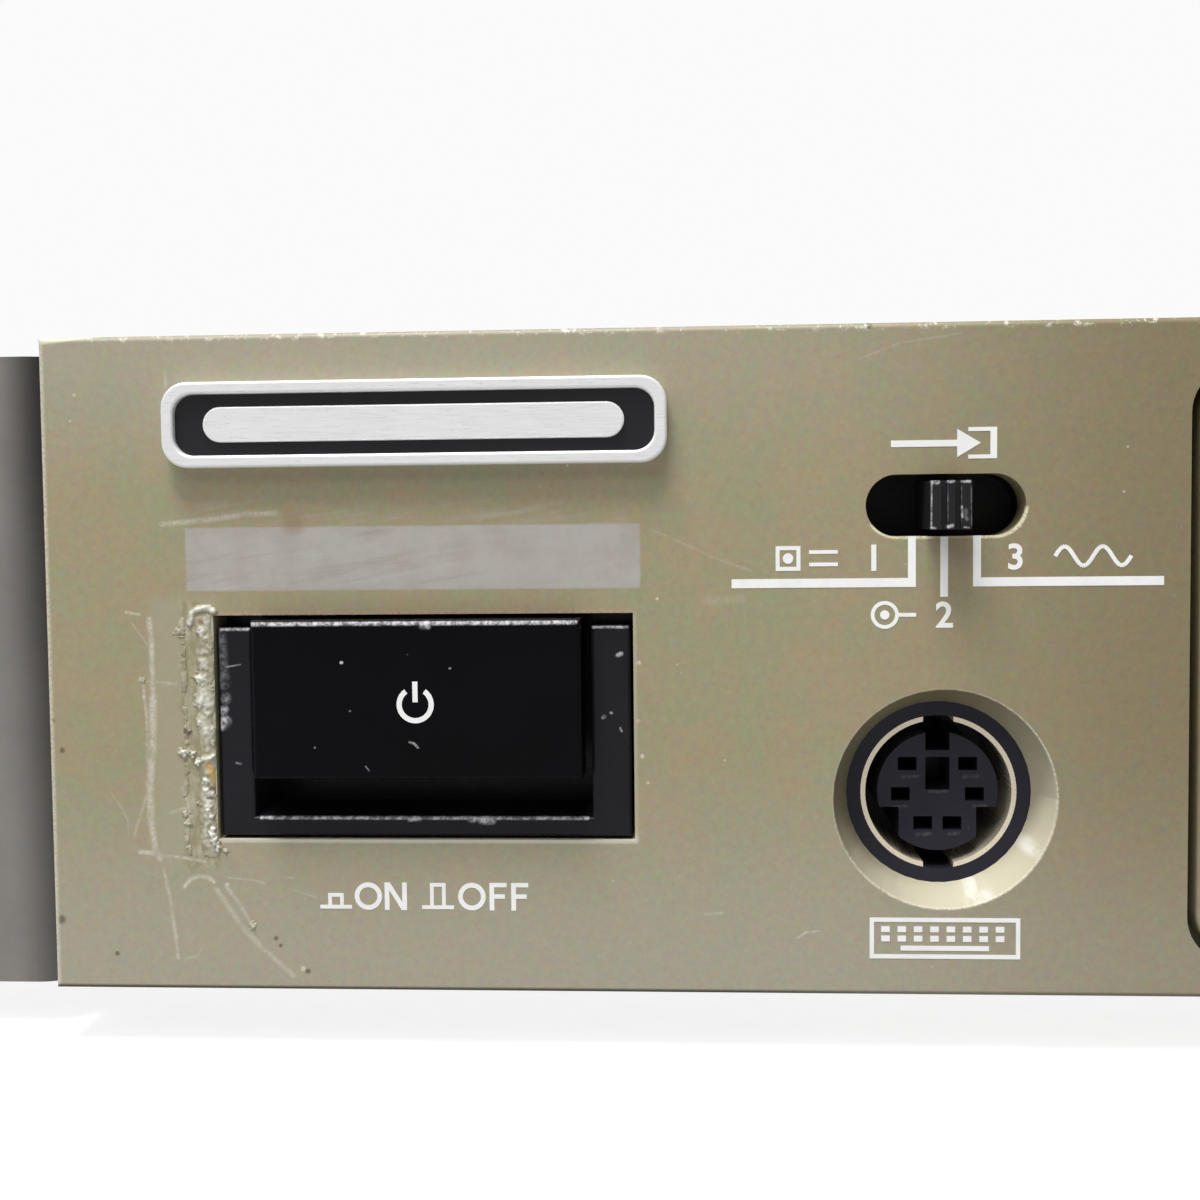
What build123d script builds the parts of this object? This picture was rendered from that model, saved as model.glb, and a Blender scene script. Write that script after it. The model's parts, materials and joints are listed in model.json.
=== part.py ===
"""Rack-mount minidisc recorder, one rack unit high, built as separate pieces.

Units are millimetres. X runs to the right along the front panel, Y runs from the
front panel to the rear, Z is up. The origin is on the floor under the middle of the
whole recorder, knobs and sockets included. Places on the front panel are given as
(distance from the panel's left edge, height above the panel's bottom edge), and
depths are measured backwards from the panel's front face.
"""

from build123d import *
from math import atan2, ceil, cos, degrees, pi, radians, sin
import os

os.makedirs("parts", exist_ok=True)

# Case
panel_height = 43.7
panel_wall = 3.0
panel_rim_wall = 1.5
panel_rim_depth = 10.0
panel_edge_radius = 0.35
panel_lift = 0.8
panel_top_step = 1.0
panel_right_margin = 20.0
foot_height = 3.0
foot_radius = 8.0
foot_chamfer = 0.75
foot_inset_x = 24.0
foot_inset_y = 32.0
cover_wall = 1.0
cover_bend_radius = 0.9
base_wall = 1.2
seat_gap = 0.3

# Rack ears
ear_span = 26.3
ear_set_back = 4.0
ear_wall = 2.0
ear_bend_radius = 3.0
ear_leg_length = 62.0
ear_corner_radius = 2.0
rack_hole_inset = 8.75
rack_hole_spacing_z = 31.75
rack_slot_length = 10.5
rack_slot_width = 6.8

# Screws
screw_radius = 1.5
screw_hole_clearance = 0.1
screw_head_radius = 2.8
screw_head_height = 1.6
screw_drive = 1.9
screw_drive_width = 0.6
screw_drive_depth = 1.0
screw_inner_length = 1.8
ear_screw_depths = (12.0, 40.0)
cover_screw_shares = (0.45, 0.9)
cover_screw_rise = 9.0

# Power switch
power_place = (25.37, 17.7)
power_opening_width = 27.9
power_opening_height = 15.0
bezel_gap = 0.2
bezel_left_post = 2.3
bezel_right_post = 2.6
bezel_bottom_bar = 1.3
bezel_post_drop = 0.8
bezel_recess = 0.25
bezel_depth = 8.2
bezel_back_wall = 1.5
bezel_flange = 0.9
bezel_flange_wall = 1.2
power_cap_side_gap = 0.5
power_cap_height = 10.4
power_cap_top_gap = 0.25
power_cap_proud = 1.9
power_cap_length = 4.4
power_cap_edge = 0.35
power_travel = 3.0
power_stem_width = 7.0
power_stem_height = 4.0
power_stem_engagement = 6.0
power_switch_width = 16.0
power_switch_height = 13.0
power_switch_length = 26.0
terminal_width = 0.8
terminal_height = 3.0
terminal_length = 5.0
stem_hole_margin = 1.0

# Nameplate
badge_left = 25.1
badge_drop = 5.95
badge_width = 33.1
badge_height = 5.6
badge_proud = 1.1
badge_rim_width = 0.8
badge_corner_radius = 1.7
badge_edge = 0.2
badge_inlay_drop = 0.55

# Input selector switch
selector_left = 59.48
selector_drop = 11.7
selector_slot_height = 4.0
selector_knob_width = 2.6
selector_knob_height = 3.1
selector_knob_proud = 2.3
selector_rib_count = 3
selector_groove_width = 0.35
selector_groove_depth = 0.35
selector_travel = 2.1
selector_end_gap = 1.7
selector_body_width = 16.0
selector_body_height = 7.6
selector_pocket_depth = 2.2

# Keyboard socket
keyboard_place = (59.45, 12.9)
keyboard_dish_radius = 7.2
keyboard_hole_radius = 6.1
keyboard_body_width = 14.0
keyboard_body_height = 13.4
keyboard_body_length = 13.0
keyboard_bore_radius = 5.15
keyboard_bore_depth = 9.0
shield_wall = 0.32
shield_gap_width = 2.0
insulator_radius = 4.0
insulator_drop = 0.35
insulator_pin_hole_width = 1.25
insulator_pin_hole_height = 0.9
insulator_pin_hole_depth = 5.0
insulator_pin_rows = ((2.0, 1.84), (2.45, -0.2), (0.97, -2.16))
insulator_key_width = 1.6
insulator_key_height = 2.2
insulator_key_rise = 1.19
insulator_notch_height = 1.05
insulator_notch_overrun = 0.4
insulator_side_drop = 2.88
insulator_side_width = 2.88
insulator_side_height = 3.6
jack_hole_margin = 0.6

# Deck bezel with the display window and the disc slot
deck_left = 74.9
deck_rise = 2.3
deck_top_margin = 3.0
deck_corner_radius = 3.0
deck_groove = 0.65
deck_flange_gap = 0.1
deck_flange_wall = 1.5
window_inset = 5.0
window_width = 70.0
window_margin = 5.7
window_corner_radius = 2.0
window_thickness = 2.0
window_ledge = 2.0
window_clearance = 0.15
window_drop = 0.4
window_edge = 0.25
window_slot_gap = 11.6
slot_inset = 6.0
slot_width = 77.4
slot_height = 9.0
slot_corner_radius = 0.8
slot_drop = 10.4
slot_lead_in = 0.8
door_clearance = 0.3
door_wall = 1.2
door_depth = 1.6
door_pin_radius = 0.8
door_pin_length = 1.2
door_pin_clearance = 0.06
display_thickness = 4.0
display_margin = 3.0
display_corner_radius = 1.0

# Front circuit board
board_depth = 8.2
board_wall = 1.6
board_edge_gap = 0.8
board_left = 45.0
board_cutout_gap = 0.8
board_split_gap = 0.4

# Push buttons
key_names = ("rewind", "forward", "stop", "pause", "play", "record")
key_row_height = 14.5
key_row_gap = 5.8
key_gap = 2.2
key_width = 12.6
key_height = 9.0
key_corner_radius = 0.8
key_proud = 2.0
function_names = ("display", "time", "repeat", "menu")
function_row_drop = 10.1
function_gap = 10.0
function_width = 12.0
function_height = 4.2
function_proud = 1.2
eject_shift = 26.0
eject_rise = 10.4
eject_width = 15.0
eject_height = 5.0
eject_proud = 1.5
button_clearance = 0.2
button_edge = 0.4
button_flange = 0.8
button_flange_wall = 1.2
button_travel = 0.8
button_switch_gap = 0.2
tact_switch_width = 6.0
tact_switch_height = 4.2
tact_plunger_radius = 1.6
tact_plunger_height = 0.7

# Rotary controls
shaft_radius = 2.0
shaft_clearance = 0.06
bushing_radius = 3.5
bushing_hole_clearance = 0.2
bushing_proud = 0.6
control_body_width = 13.0
control_body_height = 12.0
control_bore_floor = 0.3
jog_gap = 6.2
jog_radius = 13.5
jog_proud = 12.0
jog_dish_gap = 1.2
jog_dish_depth = 1.5
jog_flute_count = 40
jog_flute_radius = 0.55
jog_dimple_radius = 4.0
jog_dimple_offset = 7.4
jog_dimple_depth = 1.0
jog_travel = 0.5
jog_collar_radius = 3.2
jog_collar_wall = 1.0
jog_collar_rear_gap = 0.6
jog_cap_wall = 4.0
record_gap = 5.9
record_outer_radius = 8.6
record_outer_proud = 7.0
record_inner_radius = 5.6
record_inner_proud = 11.0
record_sleeve_wall = 0.8
sleeve_rear_gap = 0.9
phones_gap = 10.8
phones_knob_drop = 12.1
phones_knob_radius = 5.6
phones_knob_proud = 10.0
knob_panel_gap = 0.8
knob_edge = 0.6
knob_flute_count = 24
knob_flute_radius = 0.4
flute_sink_share = 0.35
pointer_width = 0.9
pointer_depth = 0.5

# Headphone socket
phones_jack_height = 12.6
phones_bore_radius = 3.25
phones_bore_length = 26.0
phones_nose_radius = 5.4
phones_body_width = 13.0
phones_body_height = 13.0
phones_body_wall = 2.0

# Disc mechanism
mech_deck_wall = 1.5
mech_deck_rise = 8.8
mech_half_width = 48.0
mech_front_depth = 14.5
mech_length = 104.0
mech_cover_gap = 3.3
mech_wall = 1.5
damper_radius = 4.0
holder_inner_width = 73.6
holder_inner_height = 5.9
holder_wall = 1.2
holder_length = 70.0
holder_front_depth = 15.0
holder_drop = 4.0
holder_pin_radius = 1.2
holder_pin_inset = 16.0
holder_pin_clearance = 0.2
holder_window_margin = 4.0
head_window_margin = 6.0
head_window_width = 16.0
disc_hub_depth = 49.0
slider_travel = 12.0
slider_wall = 1.4
slider_height = 14.0
slider_length = 80.0
gear_module = 0.6
gear_teeth = 12
gear_face = 1.6
gear_addendum = 0.9
gear_dedendum = 1.25
gear_tooth_root = 1.5
gear_flank_slope = 0.36
rack_tooth_height = 1.9
gear_backlash = 0.22
gear_shaft_radius = 0.75
gear_depth = 78.0
gearbox_width = 4.8
gearbox_length = 14.0
spindle_motor_radius = 12.0
spindle_motor_height = 5.0
spindle_shaft_radius = 1.0
turntable_radius = 8.0
turntable_wall = 1.8
turntable_drop = 0.85
hub_radius = 4.0
hub_height = 1.4
rod_radius = 1.5
rod_offset = 16.0
rod_rise = 4.6
screw_rod_radius = 1.2
screw_rod_offset = 22.5
sled_motor_length = 10.0
sled_width = 18.0
sled_height = 8.4
sled_rise = 0.6
sled_edge_gap = 1.0
sled_motor_gap = 0.8
sled_rest = 25.0
sled_inward_travel = 9.0
lens_radius = 3.0
lens_height = 0.8
head_arm_width = 6.0
head_arm_wall = 2.0
head_arm_back_gap = 2.0
head_arm_top_gap = 1.0
head_arm_rod_gap = 0.5
head_arm_overhang = 2.0

# Power supply and main board
transformer_width = 52.0
transformer_length = 44.0
transformer_height = 33.0
transformer_coil = 9.0
power_board_width = 84.0
power_board_length = 92.0
main_board_width = 214.0
main_board_length = 132.0
standoff_height = 6.0
standoff_radius = 3.2
standoff_inset = 6.0
circuit_wall = 1.6
board_side_gap = 8.0
main_board_rear_gap = 6.0
main_board_front_gap = 22.3
power_board_front_gap = 44.0
transformer_rear_gap = 34.0
transformer_core_inset = 9.0
transformer_coil_inset = 3.0
transformer_foot_width = 66.0
transformer_foot_length = 12.0
transformer_foot_wall = 1.2
main_capacitor_pitch = (32.0, 40.0)
main_capacitor_count = (5, 2)
main_capacitor_radius = 5.0
main_capacitor_height = 14.0
main_chip_pitch = 40.0
main_chip_count = 5
main_chip_size = 16.0
main_chip_height = 2.0
power_capacitor_pitch = (24.0, 26.0)
power_capacitor_count = (3, 2)
power_capacitor_radius = 8.0
power_capacitor_height = 24.0
power_chip_pitch = 26.0
power_chip_count = 2
power_chip_size = 12.0
power_chip_height = 18.0
chip_row_share = 0.3
vent_slot_width = 2.6
vent_slot_length = 26.0
vent_slot_pitch = 5.7
vent_slot_count = 14
vent_rear_gap = 46.0

# Rear sockets
rear_row_height = 21.0
inlet_width = 27.6
inlet_height = 20.0
inlet_flange_width = 31.0
inlet_flange_height = 24.0
inlet_flange_wall = 2.2
inlet_flange_corner = 2.0
inlet_cavity_corner = 2.5
inlet_cavity_width = 24.2
inlet_cavity_height = 16.6
inlet_cavity_depth = 15.0
inlet_body_length = 20.0
inlet_blade = (2.0, 4.0)
inlet_blade_spread = 7.0
inlet_blade_rise = 2.0
inlet_blade_length = 13.0
inlet_left = 46.0
phono_barrel_radius = 4.15
phono_bore_radius = 1.6
phono_proud = 9.5
phono_collar_radius = 5.6
phono_collar_proud = 1.2
phono_pitch = 15.0
phono_hole_clearance = 0.2
phono_block_length = 13.0
phono_block_margin = 9.0
analog_left = 290.0
digital_left = 236.0
optical_size = 9.6
optical_recess = 1.4
optical_rim = 1.2
optical_block_margin = 2.0
optical_pitch = 14.0
optical_left = 214.0
remote_lefts = (350.0, 390.0)
remote_pins = (5, 8)
remote_pin_pitch = 2.76
remote_pin_radius = 0.55
remote_pin_depth = 3.0
remote_shell_height = 8.4
remote_shell_proud = 5.5
remote_shell_margin = 2.5
remote_shell_angle = 80
remote_hole_margin = 0.5
remote_body_length = 6.0
remote_flange_margin = 7.0
remote_flange_wall = 1.0
remote_flange_height = 12.5

# Places along the panel, each from its neighbour on the left
deck_width = window_inset + window_width + window_slot_gap + slot_width + slot_inset
key_first_left = deck_left + deck_width + key_row_gap + key_width / 2
key_pitch = key_width + key_gap
key_last_left = key_first_left + (len(key_names) - 1) * key_pitch
key_middle_left = (key_first_left + key_last_left) / 2
function_pitch = function_width + function_gap
function_first_left = key_middle_left - (len(function_names) - 1) * function_pitch / 2
jog_left = key_last_left + key_width / 2 + jog_gap + jog_radius
record_left = jog_left + jog_radius + record_gap + record_outer_radius
phones_left = record_left + record_outer_radius + phones_gap + phones_knob_radius
panel_width = phones_left + panel_right_margin
rack_width = panel_width + 2 * ear_span
rack_hole_spacing_x = rack_width - 2 * rack_hole_inset

# Derived heights and depths
deck_height = panel_height - deck_rise - deck_top_margin
deck_flange = deck_rise - panel_rim_wall - deck_flange_gap
window_height = deck_height - 2 * window_margin
case_height = panel_lift + panel_height - panel_top_step
ear_height = panel_height
selector_slot_width = selector_knob_width + 2 * (selector_travel + selector_end_gap)
mech_rear_depth = mech_front_depth + mech_length
board_room = main_board_front_gap + main_board_length + main_board_rear_gap
body_depth = mech_rear_depth + board_room + base_wall
overall_depth = jog_proud + body_depth + phono_proud
face_y = jog_proud - overall_depth / 2
rear_y = face_y + body_depth
base_bottom = foot_height
case_top = base_bottom + case_height
cover_inner_top = case_top - cover_wall
floor_z = base_bottom + base_wall
panel_bottom = foot_height + panel_lift
front_wall_depth = panel_rim_depth
front_wall_back = panel_rim_depth + base_wall
base_half_width = panel_width / 2 - cover_wall
base_inner_half_width = base_half_width - base_wall
rear_inner_y = rear_y - base_wall
case_front_y = face_y + panel_rim_depth
case_middle_y = (case_front_y + rear_y) / 2
case_length = rear_y - case_front_y


def panel_point(place):
    """Turns a place on the front panel into its X and Z."""
    return (place[0] - panel_width / 2, panel_bottom + place[1])


def front_plane(depth):
    """The plane a given depth behind the panel's face. Extruding by a minus amount goes backwards."""
    return Plane.XZ.offset(-(face_y + depth))


def rear_plane(proud):
    """The plane a given distance behind the rear panel's outer face."""
    return Plane.XZ.offset(-(rear_y + proud))


def rear_point(from_left, height):
    """A place on the rear panel, from the left edge as the front is seen."""
    return (from_left - panel_width / 2, base_bottom + height)


def front_edges(builder):
    """The edges round a piece's foremost face."""
    return builder.faces().sort_by(Axis.Y)[0].edges()


def save(part, name):
    part.label = name
    export_step(part, f"parts/{name}.step")


panel_centre = (0, panel_bottom + panel_height / 2)
power_x, power_z = panel_point(power_place)
badge_centre = panel_point((badge_left, panel_height - badge_drop))
selector_x, selector_z = panel_point((selector_left, panel_height - selector_drop))
keyboard_x, keyboard_z = panel_point(keyboard_place)
deck_centre = panel_point((deck_left + deck_width / 2, deck_rise + deck_height / 2))
deck_left_x = deck_left - panel_width / 2
window_centre = (deck_left_x + window_inset + window_width / 2, deck_centre[1])
slot_x = deck_left_x + deck_width - slot_inset - slot_width / 2
slot_z = panel_bottom + deck_rise + deck_height - slot_drop
slot_centre = (slot_x, slot_z)
eject_centre = (slot_x + eject_shift, panel_bottom + deck_rise + eject_rise)
key_centres = [
    panel_point((key_first_left + n * key_pitch, key_row_height))
    for n in range(len(key_names))
]
function_centres = [
    panel_point((function_first_left + n * function_pitch, panel_height - function_row_drop))
    for n in range(len(function_names))
]
jog_x, jog_z = panel_point((jog_left, panel_height / 2))
record_x, record_z = panel_point((record_left, panel_height / 2))
phones_knob_x, phones_knob_z = panel_point((phones_left, panel_height - phones_knob_drop))
phones_jack_x, phones_jack_z = panel_point((phones_left, phones_jack_height))
control_centres = [(jog_x, jog_z), (record_x, record_z), (phones_knob_x, phones_knob_z)]
bushing_hole_radius = bushing_radius + bushing_hole_clearance
button_hole_gap = 2 * button_clearance

# Front panel: a moulded tray with every opening cut from the same places as its part
with BuildPart() as front_panel:
    with BuildSketch(front_plane(0)):
        with Locations(panel_centre):
            Rectangle(panel_width, panel_height)
    extrude(amount=-panel_rim_depth)
    fillet(front_edges(front_panel), panel_edge_radius)
    with BuildSketch(front_plane(panel_wall)):
        with Locations(panel_centre):
            Rectangle(panel_width - 2 * panel_rim_wall, panel_height - 2 * panel_rim_wall)
    extrude(amount=-(panel_rim_depth - panel_wall), mode=Mode.SUBTRACT)
    with BuildSketch(front_plane(0)):
        with Locations((power_x, power_z)):
            Rectangle(power_opening_width, power_opening_height)
        with Locations((selector_x, selector_z)):
            SlotOverall(selector_slot_width, selector_slot_height)
        with Locations(deck_centre):
            RectangleRounded(deck_width, deck_height, deck_corner_radius)
        with Locations(key_centres):
            RectangleRounded(key_width + button_hole_gap, key_height + button_hole_gap, key_corner_radius)
        with Locations(function_centres):
            SlotOverall(function_width + button_hole_gap, function_height + button_hole_gap)
        with Locations(control_centres):
            Circle(bushing_hole_radius)
        with Locations((phones_jack_x, phones_jack_z)):
            Circle(phones_nose_radius + seat_gap)
    extrude(amount=-panel_wall, mode=Mode.SUBTRACT)
    with BuildSketch(front_plane(0)):
        with Locations((jog_x, jog_z)):
            Circle(jog_radius + jog_dish_gap)
    extrude(amount=-jog_dish_depth, mode=Mode.SUBTRACT)
    with BuildSketch(front_plane(0)):
        with Locations((keyboard_x, keyboard_z)):
            Circle(keyboard_dish_radius)
    with BuildSketch(front_plane(panel_wall)):
        with Locations((keyboard_x, keyboard_z)):
            Circle(keyboard_hole_radius)
    loft(mode=Mode.SUBTRACT)

# Nameplate: a bright raised rim round a dark, blank inlay
inlay_size = (badge_width - 2 * badge_rim_width, badge_height - 2 * badge_rim_width)
inlay_corner_radius = badge_corner_radius - badge_rim_width / 2
with BuildPart() as nameplate_rim:
    with BuildSketch(front_plane(0)):
        with Locations(badge_centre):
            RectangleRounded(badge_width, badge_height, badge_corner_radius)
            RectangleRounded(*inlay_size, inlay_corner_radius, mode=Mode.SUBTRACT)
    extrude(amount=badge_proud)
    fillet(front_edges(nameplate_rim), badge_edge)

with BuildPart() as nameplate_inlay:
    with BuildSketch(front_plane(0)):
        with Locations(badge_centre):
            RectangleRounded(*inlay_size, inlay_corner_radius)
    extrude(amount=badge_proud - badge_inlay_drop)

# Power bezel: two posts and a bottom bar round a deep well that the button slides in
bezel_left = power_x - power_opening_width / 2 + bezel_gap
bezel_right = power_x + power_opening_width / 2 - bezel_gap
bezel_bottom = power_z - power_opening_height / 2 + bezel_gap
bezel_top = power_z + power_opening_height / 2 - bezel_post_drop
well_left = bezel_left + bezel_left_post
well_right = bezel_right - bezel_right_post
well_bottom = bezel_bottom + bezel_bottom_bar
opening_top = power_z + power_opening_height / 2
bezel_centre = ((bezel_left + bezel_right) / 2, (bezel_bottom + bezel_top) / 2)
well_centre = ((well_left + well_right) / 2, (well_bottom + bezel_top) / 2)
stem_z = opening_top - power_cap_top_gap - power_cap_height / 2

with BuildPart() as power_bezel:
    with BuildSketch(front_plane(bezel_recess)):
        with Locations(bezel_centre):
            Rectangle(bezel_right - bezel_left, bezel_top - bezel_bottom)
    extrude(amount=-(bezel_depth - bezel_recess))
    with BuildSketch(front_plane(panel_wall)):
        with Locations((power_x, power_z)):
            Rectangle(power_opening_width + 2 * bezel_flange, power_opening_height + 2 * bezel_flange)
    extrude(amount=-bezel_flange_wall)
    with BuildSketch(front_plane(panel_wall + bezel_flange_wall)):
        with Locations((bezel_centre[0], (bezel_bottom + opening_top) / 2)):
            Rectangle(bezel_right - bezel_left, opening_top - bezel_bottom)
    extrude(amount=-(bezel_depth - panel_wall - bezel_flange_wall))
    with BuildSketch(front_plane(0)):
        with Locations((well_centre[0], (well_bottom + opening_top) / 2)):
            Rectangle(well_right - well_left, opening_top - well_bottom)
    extrude(amount=-(bezel_depth - bezel_back_wall), mode=Mode.SUBTRACT)
    with BuildSketch(front_plane(bezel_depth)):
        with Locations((well_centre[0], stem_z)):
            Rectangle(power_stem_width + 2 * seat_gap, power_stem_height + 2 * seat_gap)
    extrude(amount=bezel_back_wall, mode=Mode.SUBTRACT)
    fillet(front_edges(power_bezel), bezel_recess)

power_cap_width = well_right - well_left - 2 * power_cap_side_gap
power_stem_back = front_wall_back + power_stem_engagement
with BuildPart() as power_button:
    with BuildSketch(front_plane(-power_cap_proud)):
        with Locations((well_centre[0], stem_z)):
            Rectangle(power_cap_width, power_cap_height)
    extrude(amount=-(power_cap_proud + power_cap_length - power_travel))
    fillet(front_edges(power_button), power_cap_edge)
    with BuildSketch(front_plane(power_cap_length - power_travel)):
        with Locations((well_centre[0], stem_z)):
            Rectangle(power_stem_width, power_stem_height)
    extrude(amount=-(power_stem_back + power_travel - power_cap_length))

# Mains switch behind the panel, with a well for the button's stem and its travel
with BuildPart() as power_switch:
    with BuildSketch(front_plane(front_wall_back)):
        with Locations((well_centre[0], stem_z)):
            Rectangle(power_switch_width, power_switch_height)
    extrude(amount=-power_switch_length)
    with BuildSketch(front_plane(front_wall_back)):
        with Locations((well_centre[0], stem_z)):
            Rectangle(power_stem_width + 2 * seat_gap, power_stem_height + 2 * seat_gap)
    extrude(amount=-(power_stem_engagement + power_travel + seat_gap), mode=Mode.SUBTRACT)
    with BuildSketch(front_plane(front_wall_back + power_switch_length)):
        with Locations((well_centre[0], stem_z)):
            with GridLocations(power_switch_width / 2, power_switch_height / 2, 2, 2):
                Rectangle(terminal_width, terminal_height)
    extrude(amount=-terminal_length)

# Input selector: a body with a pocket behind the slot, and a ribbed knob
selector_floor = panel_wall + selector_pocket_depth
with BuildPart() as input_switch_body:
    with BuildSketch(front_plane(panel_wall)):
        with Locations((selector_x, selector_z)):
            Rectangle(selector_body_width, selector_body_height)
    extrude(amount=-(board_depth - panel_wall))
    with BuildSketch(front_plane(panel_wall)):
        with Locations((selector_x, selector_z)):
            SlotOverall(selector_slot_width, selector_slot_height)
    extrude(amount=-selector_pocket_depth, mode=Mode.SUBTRACT)

with BuildPart() as input_switch_knob:
    with BuildSketch(front_plane(-selector_knob_proud)):
        with Locations((selector_x, selector_z)):
            Rectangle(selector_knob_width, selector_knob_height)
    extrude(amount=-(selector_knob_proud + selector_floor - seat_gap))
    with BuildSketch(front_plane(-selector_knob_proud)):
        with Locations((selector_x, selector_z)):
            with GridLocations(selector_knob_width / selector_rib_count, 1, selector_rib_count - 1, 1):
                Rectangle(selector_groove_width, selector_knob_height)
    extrude(amount=-selector_groove_depth, mode=Mode.SUBTRACT)

# Keyboard socket: six-pin round socket seated behind the dished hole
with BuildPart() as keyboard_jack:
    with BuildSketch(front_plane(panel_wall)):
        with Locations((keyboard_x, keyboard_z)):
            Rectangle(keyboard_body_width, keyboard_body_height)
    extrude(amount=-keyboard_body_length)
    with BuildSketch(front_plane(panel_wall)):
        with Locations((keyboard_x, keyboard_z)):
            Circle(keyboard_bore_radius)
    extrude(amount=-keyboard_bore_depth, mode=Mode.SUBTRACT)
    with BuildSketch(front_plane(panel_wall + insulator_drop)):
        with Locations((keyboard_x, keyboard_z)):
            Circle(insulator_radius)
        with Locations((keyboard_x, keyboard_z + insulator_radius - insulator_notch_height / 2)):
            Rectangle(
                insulator_key_width, insulator_notch_height + insulator_notch_overrun, mode=Mode.SUBTRACT
            )
        for side in (-1, 1):
            with Locations((keyboard_x + side * insulator_radius, keyboard_z - insulator_side_drop)):
                Rectangle(insulator_side_width, insulator_side_height, mode=Mode.SUBTRACT)
    extrude(amount=-(keyboard_bore_depth - insulator_drop))
    with BuildSketch(front_plane(panel_wall + insulator_drop)):
        for spread, rise in insulator_pin_rows:
            with Locations((keyboard_x, keyboard_z + rise)):
                with GridLocations(2 * spread, 1, 2, 1):
                    Rectangle(insulator_pin_hole_width, insulator_pin_hole_height)
        with Locations((keyboard_x, keyboard_z + insulator_key_rise)):
            Rectangle(insulator_key_width, insulator_key_height)
    extrude(amount=-insulator_pin_hole_depth, mode=Mode.SUBTRACT)

with BuildPart() as keyboard_jack_shield:
    with BuildSketch(front_plane(panel_wall)):
        with Locations((keyboard_x, keyboard_z)):
            Circle(keyboard_bore_radius)
            Circle(keyboard_bore_radius - shield_wall, mode=Mode.SUBTRACT)
            Rectangle(shield_gap_width, 3 * keyboard_bore_radius, mode=Mode.SUBTRACT)
    extrude(amount=-keyboard_bore_depth)

# Deck bezel: window recess, disc slot with a lead-in, eject hole and a rear flange
bezel_width = deck_width - 2 * deck_groove
bezel_height = deck_height - 2 * deck_groove
window_recess = window_thickness + window_drop
door_pivot_z = slot_z + slot_height / 2 - door_clearance - door_pin_radius
door_pivot_depth = door_depth + door_wall / 2
with BuildPart() as deck_bezel:
    with BuildSketch(front_plane(0)):
        with Locations(deck_centre):
            RectangleRounded(bezel_width, bezel_height, deck_corner_radius - deck_groove)
    extrude(amount=-(panel_wall + deck_flange_wall))
    fillet(front_edges(deck_bezel), panel_edge_radius)
    with BuildSketch(front_plane(panel_wall)):
        with Locations(deck_centre):
            RectangleRounded(deck_width + 2 * deck_flange, deck_height + 2 * deck_flange, deck_corner_radius)
    extrude(amount=-deck_flange_wall)
    with BuildSketch(front_plane(0)):
        with Locations(window_centre):
            RectangleRounded(window_width, window_height, window_corner_radius)
    extrude(amount=-window_recess, mode=Mode.SUBTRACT)
    with BuildSketch(front_plane(0)):
        with Locations(window_centre):
            Rectangle(window_width - 2 * window_ledge, window_height - 2 * window_ledge)
        with Locations(slot_centre):
            RectangleRounded(slot_width, slot_height, slot_corner_radius)
        with Locations(eject_centre):
            SlotOverall(eject_width + button_hole_gap, eject_height + button_hole_gap)
    extrude(amount=-(panel_wall + deck_flange_wall), mode=Mode.SUBTRACT)
    with BuildSketch(front_plane(0)):
        with Locations(slot_centre):
            RectangleRounded(
                slot_width + 2 * slot_lead_in,
                slot_height + 2 * slot_lead_in,
                slot_corner_radius + slot_lead_in,
            )
    with BuildSketch(front_plane(slot_lead_in)):
        with Locations(slot_centre):
            RectangleRounded(slot_width, slot_height, slot_corner_radius)
    loft(mode=Mode.SUBTRACT)
    with BuildSketch(Plane.YZ.offset(slot_x - slot_width / 2 - door_pin_length - door_clearance)):
        with Locations((face_y + door_pivot_depth, door_pivot_z)):
            Circle(door_pin_radius + door_pin_clearance)
    extrude(amount=slot_width + 2 * (door_pin_length + door_clearance), mode=Mode.SUBTRACT)

with BuildPart() as display_window:
    with BuildSketch(front_plane(window_recess - window_thickness)):
        with Locations(window_centre):
            RectangleRounded(
                window_width - 2 * window_clearance,
                window_height - 2 * window_clearance,
                window_corner_radius - window_clearance,
            )
    extrude(amount=-window_thickness)
    fillet(front_edges(display_window), window_edge)

# Display: a glass tube on its holder, seated on the front board
with BuildPart() as display_module:
    with BuildSketch(front_plane(board_depth - display_thickness)):
        with Locations(window_centre):
            RectangleRounded(
                window_width - 2 * display_margin,
                window_height - 2 * display_margin,
                display_corner_radius,
            )
    extrude(amount=-display_thickness)

# Slot door: a flap on two end pins that swings inwards and up
door_height = slot_height - 2 * door_clearance
with BuildPart() as slot_door:
    with BuildSketch(front_plane(door_depth)):
        with Locations((slot_x, slot_z)):
            Rectangle(slot_width - 2 * door_clearance, door_height)
    extrude(amount=-door_wall)
    fillet(slot_door.edges().filter_by(Axis.X).group_by(Axis.Z)[-1], door_wall * 0.45)
    with BuildSketch(Plane.YZ.offset(slot_x - slot_width / 2 - door_pin_length)):
        with Locations((face_y + door_pivot_depth, door_pivot_z)):
            Circle(door_pin_radius)
    extrude(amount=slot_width + 2 * door_pin_length)

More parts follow.
